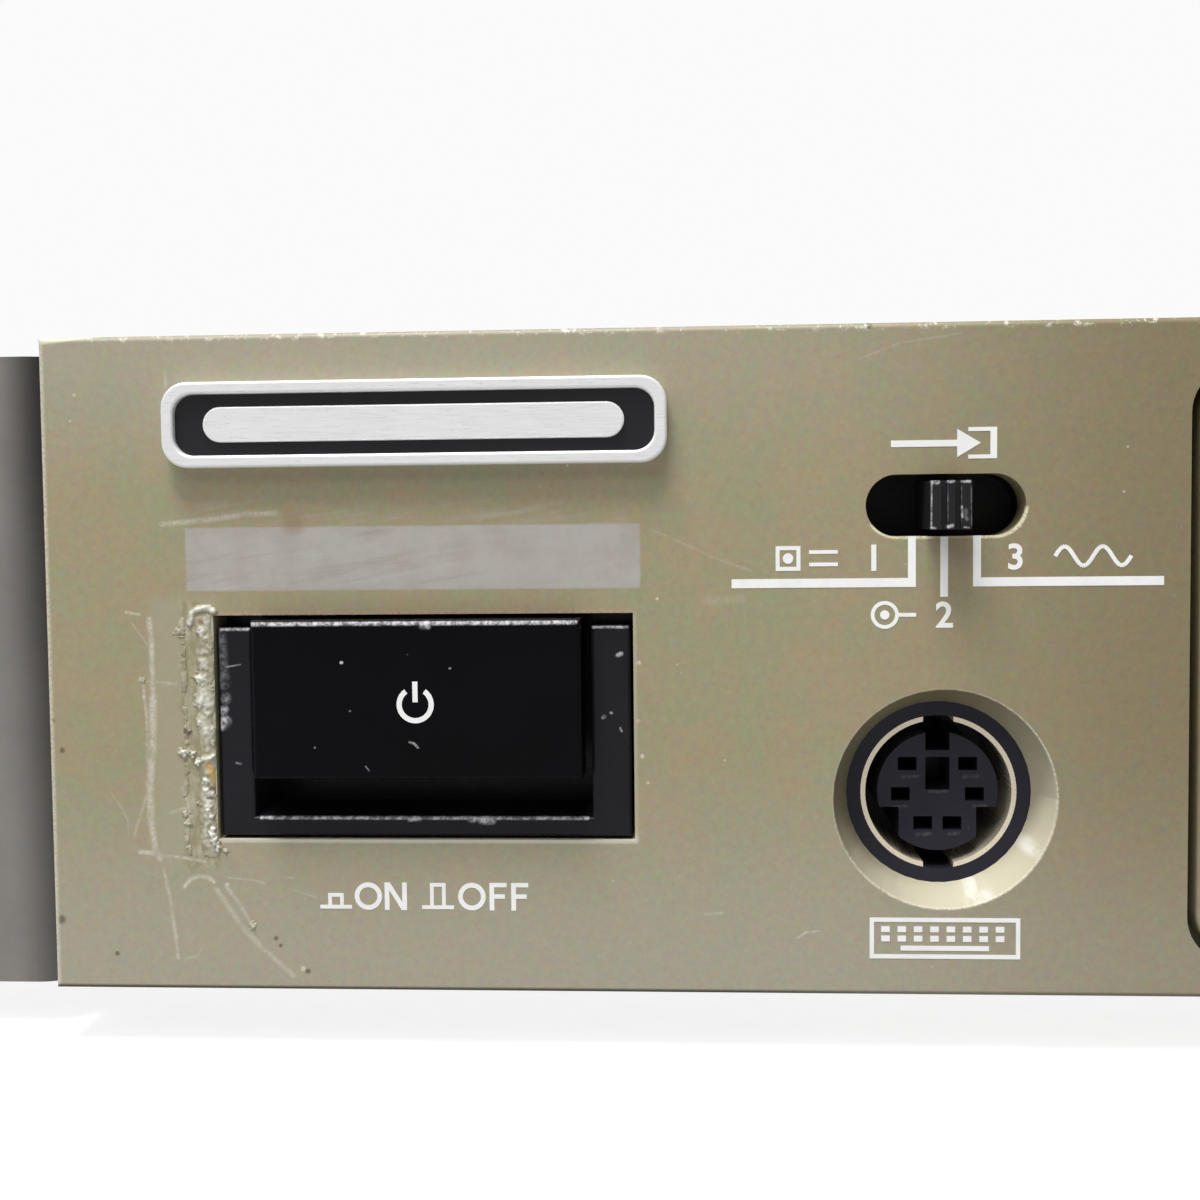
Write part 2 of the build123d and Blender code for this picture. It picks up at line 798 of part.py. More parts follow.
# Front circuit boards: a key board below the slot, and a display and a control board at its sides
board_bottom = panel_bottom + panel_rim_wall + board_edge_gap
board_top = panel_bottom + panel_height - panel_rim_wall - board_edge_gap
mouth_width = slot_width + 2 * (door_pin_length + board_cutout_gap)
mouth_bottom = slot_z - slot_height / 2 - board_cutout_gap
side_board_bottom = mouth_bottom + board_split_gap
key_board_left = keyboard_x + keyboard_body_width / 2 + board_cutout_gap
key_board_right = phones_jack_x - phones_body_width / 2 - board_cutout_gap
display_board_left = board_left - panel_width / 2
control_board_right = panel_width / 2 - panel_rim_wall - board_edge_gap
tact_face_depth = panel_wall + button_flange_wall + button_travel + button_switch_gap
eject_tact_depth = tact_face_depth + deck_flange_wall


def board_outline(left, right, bottom, top):
    """A board's rectangle, given by its edges."""
    with Locations(((left + right) / 2, (bottom + top) / 2)):
        Rectangle(right - left, top - bottom)


with BuildPart() as front_board:
    with BuildSketch(front_plane(board_depth)):
        board_outline(key_board_left, key_board_right, board_bottom, mouth_bottom)
        board_outline(display_board_left, slot_x - mouth_width / 2, side_board_bottom, board_top)
        board_outline(slot_x + mouth_width / 2, control_board_right, side_board_bottom, board_top)
    extrude(amount=-board_wall)
    with BuildSketch(front_plane(tact_face_depth + tact_plunger_height)):
        with Locations(key_centres + function_centres):
            Rectangle(tact_switch_width, tact_switch_height)
    extrude(amount=-(board_depth - tact_face_depth - tact_plunger_height))
    with BuildSketch(front_plane(tact_face_depth)):
        with Locations(key_centres + function_centres):
            Circle(tact_plunger_radius)
    extrude(amount=-tact_plunger_height)
    with BuildSketch(front_plane(eject_tact_depth)):
        with Locations(eject_centre):
            Rectangle(tact_switch_width, tact_switch_height)
    extrude(amount=-(board_depth - eject_tact_depth))


def push_button(centre, width, height, proud, wall_depth, corner_radius=None):
    """A cap with softened edges that fills its hole, on a flange trapped behind the wall."""
    with BuildPart() as button:
        with BuildSketch(front_plane(-proud)):
            with Locations(centre):
                if corner_radius is None:
                    SlotOverall(width, height)
                else:
                    RectangleRounded(width, height, corner_radius)
        extrude(amount=-(proud + wall_depth))
        fillet(front_edges(button), button_edge)
        with BuildSketch(front_plane(wall_depth)):
            with Locations(centre):
                Rectangle(width + 2 * button_flange, height + 2 * button_flange)
        extrude(amount=-button_flange_wall)
    return button.part


# Rotary controls: the encoder and two level controls on the board, with bushings
control_face_depth = panel_wall + seat_gap
jog_collar_back = board_depth - jog_collar_rear_gap
jog_collar_front = jog_collar_back - jog_collar_wall - jog_travel
with BuildPart() as rotary_controls:
    with BuildSketch(front_plane(control_face_depth)):
        with Locations(control_centres):
            Rectangle(control_body_width, control_body_height)
    extrude(amount=-(board_depth - control_face_depth))
    with BuildSketch(front_plane(jog_dish_depth - bushing_proud)):
        with Locations(control_centres):
            Circle(bushing_radius)
    extrude(amount=-(control_face_depth - jog_dish_depth + bushing_proud))
    with BuildSketch(front_plane(-panel_wall)):
        with Locations((jog_x, jog_z), (phones_knob_x, phones_knob_z)):
            Circle(shaft_radius + shaft_clearance)
        with Locations((record_x, record_z)):
            Circle(shaft_radius + record_sleeve_wall + shaft_clearance)
    extrude(amount=-(panel_wall + board_depth - control_bore_floor), mode=Mode.SUBTRACT)
    with BuildSketch(front_plane(jog_collar_front)):
        with Locations((jog_x, jog_z)):
            Circle(jog_collar_radius + seat_gap)
    extrude(amount=-(board_depth - jog_collar_front - control_bore_floor), mode=Mode.SUBTRACT)

# Jog dial: a collar that pushes in, a shaft, and a fluted dial with a finger dimple
jog_shaft_back = jog_collar_front + jog_collar_wall
with BuildPart() as jog_collar:
    with BuildSketch(front_plane(jog_collar_front)):
        with Locations((jog_x, jog_z)):
            Circle(jog_collar_radius)
            Circle(shaft_radius + shaft_clearance, mode=Mode.SUBTRACT)
    extrude(amount=-jog_collar_wall)

jog_hub_depth = jog_dish_depth - bushing_proud - knob_panel_gap - jog_travel
jog_shaft_front = jog_proud - jog_cap_wall
with BuildPart() as jog_shaft:
    with BuildSketch(front_plane(-jog_shaft_front)):
        with Locations((jog_x, jog_z)):
            Circle(shaft_radius)
    extrude(amount=-(jog_shaft_front + jog_shaft_back))


def fluted_knob(centre, radius, front, back, flute_count, flute_radius):
    """A round knob from a front depth to a back depth, with fine flutes round its side."""
    with BuildPart() as knob:
        with BuildSketch(front_plane(front)):
            with Locations(centre):
                Circle(radius)
        extrude(amount=-(back - front))
        fillet(front_edges(knob), knob_edge)
        with BuildSketch(front_plane(front + 2 * knob_edge)):
            with Locations(centre):
                with PolarLocations(radius + flute_radius * flute_sink_share, flute_count):
                    Circle(flute_radius)
        extrude(amount=-(back - front), mode=Mode.SUBTRACT)
    return knob.part


jog_back = jog_dish_depth - knob_panel_gap
with BuildPart() as jog_dial:
    add(fluted_knob((jog_x, jog_z), jog_radius, -jog_proud, jog_back, jog_flute_count, jog_flute_radius))
    with BuildSketch(front_plane(jog_back)):
        with Locations((jog_x, jog_z)):
            Circle(bushing_radius + knob_panel_gap)
    extrude(amount=jog_back - jog_hub_depth, mode=Mode.SUBTRACT)
    with BuildSketch(front_plane(jog_back)):
        with Locations((jog_x, jog_z)):
            Circle(shaft_radius)
    extrude(amount=jog_back + jog_shaft_front, mode=Mode.SUBTRACT)
    with BuildSketch(front_plane(-jog_proud)):
        with Locations((jog_x, jog_z + jog_dimple_offset)):
            Circle(jog_dimple_radius)
    extrude(amount=-jog_dimple_depth, taper=30, mode=Mode.SUBTRACT)

# Record level: an outer ring on a sleeve and an inner knob on a shaft through it
record_back = -knob_panel_gap
record_sleeve_back = board_depth - sleeve_rear_gap
record_split = record_outer_proud + seat_gap
with BuildPart() as record_level_ring:
    add(
        fluted_knob(
            (record_x, record_z),
            record_outer_radius,
            -record_outer_proud,
            record_back,
            knob_flute_count,
            knob_flute_radius,
        )
    )
    with BuildSketch(front_plane(record_back)):
        with Locations((record_x, record_z)):
            Circle(shaft_radius + record_sleeve_wall)
    extrude(amount=-(record_sleeve_back - record_back))
    with BuildSketch(front_plane(-record_outer_proud)):
        with Locations((record_x, record_z)):
            Circle(shaft_radius + shaft_clearance)
    extrude(amount=-(record_outer_proud + record_sleeve_back), mode=Mode.SUBTRACT)
    with BuildSketch(front_plane(-record_outer_proud)):
        with Locations((record_x, record_z + (record_outer_radius + record_inner_radius) / 2)):
            Rectangle(pointer_width, record_outer_radius - record_inner_radius)
    extrude(amount=-pointer_depth, mode=Mode.SUBTRACT)

with BuildPart() as record_level_knob:
    add(
        fluted_knob(
            (record_x, record_z),
            record_inner_radius,
            -record_inner_proud,
            -record_split,
            knob_flute_count,
            knob_flute_radius,
        )
    )
    with BuildSketch(front_plane(-record_split)):
        with Locations((record_x, record_z)):
            Circle(shaft_radius)
    extrude(amount=-(record_split + record_sleeve_back))
    with BuildSketch(front_plane(-record_inner_proud)):
        with Locations((record_x, record_z + record_inner_radius / 2)):
            Rectangle(pointer_width, record_inner_radius)
    extrude(amount=-pointer_depth, mode=Mode.SUBTRACT)

with BuildPart() as phones_level_knob:
    add(
        fluted_knob(
            (phones_knob_x, phones_knob_z),
            phones_knob_radius,
            -phones_knob_proud,
            -knob_panel_gap,
            knob_flute_count,
            knob_flute_radius,
        )
    )
    with BuildSketch(front_plane(-knob_panel_gap)):
        with Locations((phones_knob_x, phones_knob_z)):
            Circle(shaft_radius)
    extrude(amount=-(knob_panel_gap + record_sleeve_back))
    with BuildSketch(front_plane(-phones_knob_proud)):
        with Locations((phones_knob_x, phones_knob_z + phones_knob_radius / 2)):
            Rectangle(pointer_width, phones_knob_radius)
    extrude(amount=-pointer_depth, mode=Mode.SUBTRACT)

# Headphone socket: a round nose flush with the panel and a square body behind it
with BuildPart() as phones_jack:
    with BuildSketch(front_plane(0)):
        with Locations((phones_jack_x, phones_jack_z)):
            Circle(phones_nose_radius)
    extrude(amount=-panel_wall)
    with BuildSketch(front_plane(panel_wall)):
        with Locations((phones_jack_x, phones_jack_z)):
            Rectangle(phones_body_width, phones_body_height)
    extrude(amount=-(phones_bore_length + phones_body_wall - panel_wall))
    with BuildSketch(front_plane(0)):
        with Locations((phones_jack_x, phones_jack_z)):
            Circle(phones_bore_radius)
    extrude(amount=-phones_bore_length, mode=Mode.SUBTRACT)

# Places for screws, shared by the screws and their holes
ear_leg_start = face_y + ear_set_back
ear_screw_ys = [case_front_y + depth for depth in ear_screw_depths]
ear_screw_z = base_bottom + case_height / 2
cover_screw_ys = [case_front_y + case_length * share for share in cover_screw_shares]
cover_screw_z = base_bottom + cover_screw_rise
side_hole_radius = screw_radius + screw_hole_clearance
side_screw_places = [(y, ear_screw_z) for y in ear_screw_ys] + [(y, cover_screw_z) for y in cover_screw_ys]

# Places of the boards, the transformer and the mechanism inside the case
mech_x = slot_x
mech_front_y = face_y + mech_front_depth
mech_middle_y = mech_front_y + mech_length / 2
mech_deck_z = floor_z + mech_deck_rise
mech_top_z = mech_deck_z + mech_deck_wall
disc_y = face_y + disc_hub_depth
damper_xs = mech_half_width - 2 * damper_radius
damper_ys = mech_length / 2 - 2 * damper_radius
main_board_x = base_inner_half_width - main_board_width / 2 - board_side_gap
main_board_y = rear_inner_y - main_board_length / 2 - main_board_rear_gap
power_board_x = -base_inner_half_width + power_board_width / 2 + board_side_gap
power_board_y = case_front_y + power_board_front_gap + power_board_length / 2
transformer_x = power_board_x
transformer_y = rear_inner_y - transformer_length / 2 - transformer_rear_gap
power_board_rear_y = power_board_y + power_board_length / 2
base_vent_y = (power_board_rear_y + transformer_y - transformer_length / 2) / 2
board_z = floor_z + standoff_height
main_standoffs = (main_board_width - 2 * standoff_inset, main_board_length - 2 * standoff_inset)
power_standoffs = (power_board_width - 2 * standoff_inset, power_board_length - 2 * standoff_inset)

# Base: floor, side walls and a front wall with a notch for the disc's way in, of folded steel
with BuildPart() as chassis_base:
    with BuildSketch(Plane.XY.offset(base_bottom)):
        with Locations((0, case_middle_y)):
            Rectangle(2 * base_half_width, case_length)
    extrude(amount=cover_inner_top - base_bottom)
    with BuildSketch(Plane.XY.offset(floor_z)):
        with Locations((0, case_middle_y + base_wall / 2)):
            Rectangle(2 * base_inner_half_width, case_length - base_wall)
    extrude(amount=cover_inner_top - floor_z, mode=Mode.SUBTRACT)
    with BuildSketch(front_plane(front_wall_depth)):
        with Locations((well_centre[0], stem_z)):
            Rectangle(power_stem_width + 2 * stem_hole_margin, power_stem_height + 2 * stem_hole_margin)
        with Locations((slot_x, (mouth_bottom + cover_inner_top) / 2)):
            Rectangle(mouth_width, cover_inner_top - mouth_bottom)
        with Locations((keyboard_x, keyboard_z)):
            Rectangle(
                keyboard_body_width + 2 * jack_hole_margin, keyboard_body_height + 2 * jack_hole_margin
            )
        with Locations((phones_jack_x, phones_jack_z)):
            Rectangle(
                phones_body_width + 2 * jack_hole_margin, phones_body_height + 2 * jack_hole_margin
            )
    extrude(amount=-base_wall, mode=Mode.SUBTRACT)
    with BuildSketch(Plane.XY.offset(floor_z)):
        with Locations((main_board_x, main_board_y)):
            with GridLocations(*main_standoffs, 2, 2):
                Circle(standoff_radius)
        with Locations((power_board_x, power_board_y)):
            with GridLocations(*power_standoffs, 2, 2):
                Circle(standoff_radius)
    extrude(amount=standoff_height)
    with BuildSketch(Plane.XY.offset(base_bottom)):
        with Locations((power_board_x, base_vent_y)):
            with GridLocations(vent_slot_pitch, 1, vent_slot_count, 1):
                SlotOverall(vent_slot_length, vent_slot_width, rotation=90)
    extrude(amount=base_wall, mode=Mode.SUBTRACT)
    with BuildSketch(Plane.YZ.offset(-base_half_width)):
        with Locations(side_screw_places):
            Circle(side_hole_radius)
    extrude(amount=2 * base_half_width, mode=Mode.SUBTRACT)

# Top cover: a folded channel with ventilation slots over the power supply and boards
with BuildPart() as top_cover:
    with BuildSketch(Plane.XZ.offset(-case_front_y)):
        with Locations((0, (base_bottom + case_top) / 2)):
            Rectangle(panel_width, case_height)
        with Locations((0, (base_bottom + cover_inner_top) / 2)):
            Rectangle(2 * base_half_width, case_height - cover_wall, mode=Mode.SUBTRACT)
    extrude(amount=-case_length)
    fillet(top_cover.edges().filter_by(Axis.Y).group_by(Axis.Z)[-1], cover_bend_radius)
    with BuildSketch(Plane.XY.offset(case_top)):
        with Locations((power_board_x, rear_y - vent_rear_gap), (-power_board_x, rear_y - vent_rear_gap)):
            with GridLocations(vent_slot_pitch, 1, vent_slot_count, 1):
                SlotOverall(vent_slot_length, vent_slot_width, rotation=90)
    extrude(amount=-cover_wall, mode=Mode.SUBTRACT)
    with BuildSketch(Plane.YZ.offset(-panel_width / 2)):
        with Locations(side_screw_places):
            Circle(side_hole_radius)
    extrude(amount=panel_width, mode=Mode.SUBTRACT)

# Rear panel with a cut-out for each socket
rear_centre_z = (floor_z + cover_inner_top) / 2
inlet_x, rear_row_z = rear_point(inlet_left, rear_row_height)
analog_x = analog_left - panel_width / 2
digital_x = digital_left - panel_width / 2
optical_x = optical_left - panel_width / 2
analog_centres = [
    (analog_x + column * phono_pitch, rear_row_z + row * phono_pitch / 2)
    for column in (-0.5, 0.5)
    for row in (-1, 1)
]
digital_centres = [(digital_x, rear_row_z + row * phono_pitch / 2) for row in (-1, 1)]
optical_centres = [(optical_x, rear_row_z + row * optical_pitch / 2) for row in (-1, 1)]
remote_centres = [(left - panel_width / 2, rear_row_z) for left in remote_lefts]
remote_widths = [pins * remote_pin_pitch + 2 * remote_shell_margin for pins in remote_pins]
with BuildPart() as rear_panel:
    with BuildSketch(rear_plane(-base_wall)):
        with Locations((0, rear_centre_z)):
            Rectangle(2 * base_inner_half_width, cover_inner_top - floor_z)
        with Locations((inlet_x, rear_row_z)):
            Rectangle(inlet_width + 2 * seat_gap, inlet_height + 2 * seat_gap, mode=Mode.SUBTRACT)
        with Locations(analog_centres + digital_centres):
            Circle(phono_collar_radius + phono_hole_clearance, mode=Mode.SUBTRACT)
        with Locations(optical_centres):
            Rectangle(optical_size + 2 * seat_gap, optical_size + 2 * seat_gap, mode=Mode.SUBTRACT)
        for centre, width in zip(remote_centres, remote_widths):
            with Locations(centre):
                Rectangle(
                    width + 2 * remote_hole_margin,
                    remote_shell_height + 2 * remote_hole_margin,
                    mode=Mode.SUBTRACT,
                )
    extrude(amount=-base_wall)

# Mains inlet: a flanged shell with a cavity and three blades
with BuildPart() as ac_inlet:
    with BuildSketch(rear_plane(0)):
        with Locations((inlet_x, rear_row_z)):
            RectangleRounded(inlet_flange_width, inlet_flange_height, inlet_flange_corner)
    extrude(amount=-inlet_flange_wall)
    with BuildSketch(rear_plane(0)):
        with Locations((inlet_x, rear_row_z)):
            Rectangle(inlet_width, inlet_height)
    extrude(amount=inlet_body_length)
    with BuildSketch(rear_plane(inlet_flange_wall)):
        with Locations((inlet_x, rear_row_z)):
            RectangleRounded(inlet_cavity_width, inlet_cavity_height, inlet_cavity_corner)
    extrude(amount=inlet_cavity_depth, mode=Mode.SUBTRACT)
    with BuildSketch(rear_plane(inlet_flange_wall - inlet_cavity_depth)):
        with Locations(
            (inlet_x - inlet_blade_spread, rear_row_z - inlet_blade_rise),
            (inlet_x, rear_row_z + inlet_blade_rise),
            (inlet_x + inlet_blade_spread, rear_row_z - inlet_blade_rise),
        ):
            Rectangle(*inlet_blade)
    extrude(amount=-inlet_blade_length)


def phono_barrels(centres):
    """Collar, barrel and pin bore of each phono socket, standing out of the rear panel."""
    with BuildPart() as barrels:
        with BuildSketch(rear_plane(-base_wall)):
            with Locations(centres):
                Circle(phono_collar_radius)
        extrude(amount=-(base_wall + phono_collar_proud))
        with BuildSketch(rear_plane(phono_collar_proud)):
            with Locations(centres):
                Circle(phono_barrel_radius)
        extrude(amount=-(phono_proud - phono_collar_proud))
        with BuildSketch(rear_plane(phono_proud)):
            with Locations(centres):
                Circle(phono_bore_radius)
        extrude(amount=phono_proud, mode=Mode.SUBTRACT)
    return barrels.part


block_top = rear_row_z + phono_pitch / 2 + phono_block_margin
block_bottom = board_z + circuit_wall
block_centre_z = (block_top + block_bottom) / 2
block_height = block_top - block_bottom
with BuildPart() as analog_jacks:
    with BuildSketch(rear_plane(-base_wall)):
        with Locations((analog_x, block_centre_z)):
            Rectangle(phono_pitch + 2 * phono_block_margin, block_height)
    extrude(amount=phono_block_length)
    add(phono_barrels(analog_centres))

digital_block_left = optical_x - optical_size / 2 - optical_block_margin
digital_block_right = digital_x + phono_block_margin
with BuildPart() as digital_jacks:
    with BuildSketch(rear_plane(-base_wall)):
        with Locations(((digital_block_left + digital_block_right) / 2, block_centre_z)):
            Rectangle(digital_block_right - digital_block_left, block_height)
    extrude(amount=phono_block_length)
    add(phono_barrels(digital_centres))
    with BuildSketch(rear_plane(-base_wall)):
        with Locations(optical_centres):
            Rectangle(optical_size, optical_size)
    extrude(amount=-(base_wall + optical_recess))
    with BuildSketch(rear_plane(optical_recess)):
        with Locations(optical_centres):
            Rectangle(optical_size - 2 * optical_rim, optical_size - 2 * optical_rim)
    extrude(amount=optical_recess, mode=Mode.SUBTRACT)

with BuildPart() as remote_ports:
    for centre, width, pins in zip(remote_centres, remote_widths, remote_pins):
        with BuildSketch(rear_plane(0)):
            with Locations(centre):
                Rectangle(width + 2 * remote_flange_margin, remote_flange_height)
        extrude(amount=-remote_flange_wall)
        with BuildSketch(rear_plane(remote_flange_wall)):
            with Locations(centre):
                Trapezoid(width, remote_shell_height, remote_shell_angle)
        extrude(amount=-(remote_shell_proud - remote_flange_wall))
        with BuildSketch(rear_plane(0)):
            with Locations(centre):
                Rectangle(width, remote_shell_height)
        extrude(amount=base_wall + remote_body_length)
        with BuildSketch(rear_plane(remote_shell_proud)):
            for row, count in ((0.5, pins), (-0.5, pins - 1)):
                with Locations((centre[0], centre[1] + row * remote_pin_pitch)):
                    with GridLocations(remote_pin_pitch, 1, count, 1):
                        Circle(remote_pin_radius)
        extrude(amount=remote_pin_depth, mode=Mode.SUBTRACT)

# Rubber feet under the base
foot_xs = panel_width - 2 * foot_inset_x
foot_ys = case_length - 2 * foot_inset_y
with BuildPart() as feet:
    with BuildSketch(Plane.XY):
        with Locations((0, case_middle_y)):
            with GridLocations(foot_xs, foot_ys, 2, 2):
                Circle(foot_radius)
    extrude(amount=foot_height)
    chamfer(feet.faces().group_by(Axis.Z)[0].edges(), foot_chamfer)


def rack_ear(side):
    """A bent bracket: a slotted front plate and a leg along the case's side."""
    inner_x = side * panel_width / 2
    outer_x = side * rack_width / 2
    leg_end = ear_leg_start + ear_leg_length
    with BuildPart() as ear:
        with BuildSketch(Plane.XY.offset(base_bottom)):
            with BuildLine():
                Polyline(
                    (outer_x, ear_leg_start),
                    (inner_x, ear_leg_start),
                    (inner_x, leg_end),
                    (inner_x + side * ear_wall, leg_end),
                    (inner_x + side * ear_wall, ear_leg_start + ear_wall),
                    (outer_x, ear_leg_start + ear_wall),
                    close=True,
                )
            make_face()
        extrude(amount=ear_height)
        bend = ear.edges().filter_by(Axis.Z).sort_by_distance((inner_x, ear_leg_start, ear_height / 2))[0]
        fillet(bend, ear_bend_radius)
        inside = (inner_x + side * ear_wall, ear_leg_start + ear_wall, ear_height / 2)
        inner_bend = ear.edges().filter_by(Axis.Z).sort_by_distance(inside)[0]
        fillet(inner_bend, ear_bend_radius - ear_wall)
        corners = ear.edges().filter_by(Axis.Y).filter_by_position(
            Axis.X, *sorted((outer_x - side * 0.1, outer_x + side * 0.1))
        )
        fillet(corners, ear_corner_radius)
        with BuildSketch(front_plane(ear_set_back)):
            with Locations((side * rack_hole_spacing_x / 2, base_bottom + ear_height / 2)):
                with GridLocations(1, rack_hole_spacing_z, 1, 2):
                    SlotOverall(rack_slot_length, rack_slot_width)
        extrude(amount=-ear_wall, mode=Mode.SUBTRACT)
        with BuildSketch(Plane.YZ.offset(inner_x)):
            with Locations([(y, ear_screw_z) for y in ear_screw_ys]):
                Circle(side_hole_radius)
        extrude(amount=side * ear_wall, mode=Mode.SUBTRACT)
    return ear.part


def side_screws(places, head_x):
    """Pan-head screws along both sides, through the case wall, with a cross recess."""
    shank_end = base_inner_half_width - screw_inner_length
    with BuildPart() as screws:
        for side in (-1, 1):
            with BuildSketch(Plane.YZ.offset(side * head_x)):
                with Locations(places):
                    Circle(screw_head_radius)
            extrude(amount=side * screw_head_height)
            with BuildSketch(Plane.YZ.offset(side * head_x)):
                with Locations(places):
                    Circle(screw_radius)
            extrude(amount=-side * (head_x - shank_end))
            with BuildSketch(Plane.YZ.offset(side * (head_x + screw_head_height))):
                with Locations(places):
                    Rectangle(2 * screw_drive, screw_drive_width)
                    Rectangle(screw_drive_width, 2 * screw_drive)
            extrude(amount=-side * screw_drive_depth, mode=Mode.SUBTRACT)
    return screws.part


# Mechanism frame: deck plate and two side walls with guide slots and rod holes
holder_z = slot_z
mech_wall_top = cover_inner_top - mech_cover_gap
turntable_top_z = holder_z - holder_inner_height / 2 - holder_drop - turntable_drop
turntable_z = turntable_top_z - turntable_wall
holder_half = holder_inner_width / 2 + holder_wall
wall_inner = mech_half_width - mech_wall
pin_front_y = face_y + holder_front_depth + holder_pin_inset
pin_rear_y = face_y + holder_front_depth + holder_length - holder_pin_inset
pin_ys = (pin_front_y, pin_rear_y)
rod_z = mech_top_z + rod_rise
rod_ys = (disc_y - rod_offset, disc_y + rod_offset)
screw_rod_y = disc_y - screw_rod_offset
gear_radius = gear_module * gear_teeth / 2
slider_bottom = slot_z - holder_drop / 2 - slider_height / 2
gear_z = slider_bottom - gear_module - gear_radius
gear_y = face_y + gear_depth
with BuildPart() as mechanism_frame:
    with BuildSketch(Plane.XY.offset(mech_deck_z)):
        with Locations((mech_x, mech_middle_y)):
            Rectangle(2 * mech_half_width, mech_length)
    extrude(amount=mech_wall_top - mech_deck_z)
    with BuildSketch(Plane.XY.offset(mech_top_z)):
        with Locations((mech_x, mech_middle_y)):
            Rectangle(2 * wall_inner, mech_length)
    extrude(amount=mech_wall_top, mode=Mode.SUBTRACT)
    with BuildSketch(Plane.YZ.offset(mech_x - mech_half_width)):
        with Locations([(y, holder_z - holder_drop / 2) for y in pin_ys]):
            SlotOverall(
                holder_drop + 2 * (holder_pin_radius + holder_pin_clearance),
                2 * (holder_pin_radius + holder_pin_clearance),
                rotation=90,
            )
        with Locations([(y, rod_z) for y in rod_ys]):
            Circle(rod_radius)
        with Locations((screw_rod_y, rod_z)):
            Circle(screw_rod_radius + shaft_clearance)
        with Locations((gear_y, gear_z)):
            Circle(gear_shaft_radius)
    extrude(amount=2 * mech_half_width, mode=Mode.SUBTRACT)

with BuildPart() as mechanism_dampers:
    with BuildSketch(Plane.XY.offset(floor_z)):
        with Locations((mech_x, mech_middle_y)):
            with GridLocations(2 * damper_xs, 2 * damper_ys, 2, 2):
                Circle(damper_radius)
    extrude(amount=mech_deck_rise)

# Cartridge holder: a flat sleeve with windows above and below, carried on four pins
with BuildPart() as cartridge_holder:
    with BuildSketch(front_plane(holder_front_depth)):
        with Locations((mech_x, holder_z)):
            Rectangle(2 * holder_half, holder_inner_height + 2 * holder_wall)
            Rectangle(holder_inner_width, holder_inner_height, mode=Mode.SUBTRACT)
    extrude(amount=-holder_length)
    with BuildSketch(front_plane(holder_front_depth + holder_length)):
        with Locations((mech_x, holder_z)):
            Rectangle(2 * holder_half, holder_inner_height + 2 * holder_wall)
    extrude(amount=holder_wall)
    with BuildSketch(Plane.XY.offset(holder_z - holder_inner_height / 2 - holder_wall)):
        with Locations((mech_x, disc_y)):
            Rectangle(
                holder_inner_width - 2 * holder_window_margin, 2 * (rod_offset + holder_window_margin)
            )
    extrude(amount=holder_wall, mode=Mode.SUBTRACT)
    with BuildSketch(Plane.XY.offset(holder_z + holder_inner_height / 2)):
        with Locations((mech_x - holder_inner_width / 4, disc_y)):
            Rectangle(holder_inner_width / 2 - head_window_margin, head_window_width)
    extrude(amount=holder_wall, mode=Mode.SUBTRACT)
    for side in (-1, 1):
        with BuildSketch(Plane.YZ.offset(mech_x + side * (holder_half - holder_wall))):
            with Locations([(y, holder_z) for y in pin_ys]):
                Circle(holder_pin_radius)
        extrude(amount=side * (mech_half_width - holder_half + holder_wall))

# Loading slider: a plate with sloping cam slots for the pins and a rack under it
cam_angle = degrees(atan2(holder_drop, slider_travel))
cam_length = (holder_drop**2 + slider_travel**2) ** 0.5
slider_x = mech_x + wall_inner - seat_gap - slider_wall
slider_middle_y = (pin_front_y + pin_rear_y) / 2 + slider_travel / 2
tooth_pitch = pi * gear_module
rack_teeth_ahead = ceil(slider_travel / tooth_pitch) + 2
rack_teeth_behind = 2
tooth_half = tooth_pitch / 4 - gear_backlash / 2
flank_run = gear_module * gear_flank_slope
rack_tip_z = slider_bottom - rack_tooth_height * gear_module
with BuildPart() as loading_slider:
    with BuildSketch(Plane.YZ.offset(slider_x)):
        with Locations((slider_middle_y, slider_bottom + slider_height / 2)):
            Rectangle(slider_length, slider_height)
        for y in pin_ys:
            with Locations((y - slider_travel / 2, holder_z - holder_drop / 2)):
                SlotOverall(
                    cam_length + 2 * (holder_pin_radius + holder_pin_clearance),
                    2 * (holder_pin_radius + holder_pin_clearance),
                    rotation=cam_angle,
                    mode=Mode.SUBTRACT,
                )
    extrude(amount=slider_wall)
    with BuildSketch(Plane.YZ.offset(slider_x)):
        for n in range(-rack_teeth_ahead, rack_teeth_behind + 1):
            tooth_y = gear_y + n * tooth_pitch
            with BuildLine():
                Polyline(
                    (tooth_y - tooth_half - flank_run, slider_bottom),
                    (tooth_y + tooth_half + flank_run, slider_bottom),
                    (tooth_y + tooth_half - flank_run, rack_tip_z),
                    (tooth_y - tooth_half + flank_run, rack_tip_z),
                    close=True,
                )
            make_face()
    extrude(amount=slider_wall)

with BuildPart() as loading_gear:
    with BuildSketch(Plane.YZ.offset(slider_x - (gear_face - slider_wall))):
        with Locations((gear_y, gear_z)):
            Circle(gear_radius - gear_dedendum * gear_module)
        for n in range(gear_teeth):
            turn = radians(90 + (n + 0.5) * 360 / gear_teeth)
            along = (cos(turn), sin(turn))
            across = (-sin(turn), cos(turn))
            root = gear_radius - gear_tooth_root * gear_module
            tip = gear_radius + gear_addendum * gear_module
            with BuildLine():
                Polyline(
                    *[
                        (
                            gear_y + reach * along[0] + half * across[0],
                            gear_z + reach * along[1] + half * across[1],
                        )
                        for reach, half in (
                            (root, tooth_half + 1.5 * flank_run),
                            (tip, tooth_half - flank_run),
                            (tip, flank_run - tooth_half),
                            (root, -tooth_half - 1.5 * flank_run),
                        )
                    ],
                    close=True,
                )
            make_face()
        with Locations((gear_y, gear_z)):
            Circle(gear_shaft_radius + shaft_clearance, mode=Mode.SUBTRACT)
    extrude(amount=gear_face)

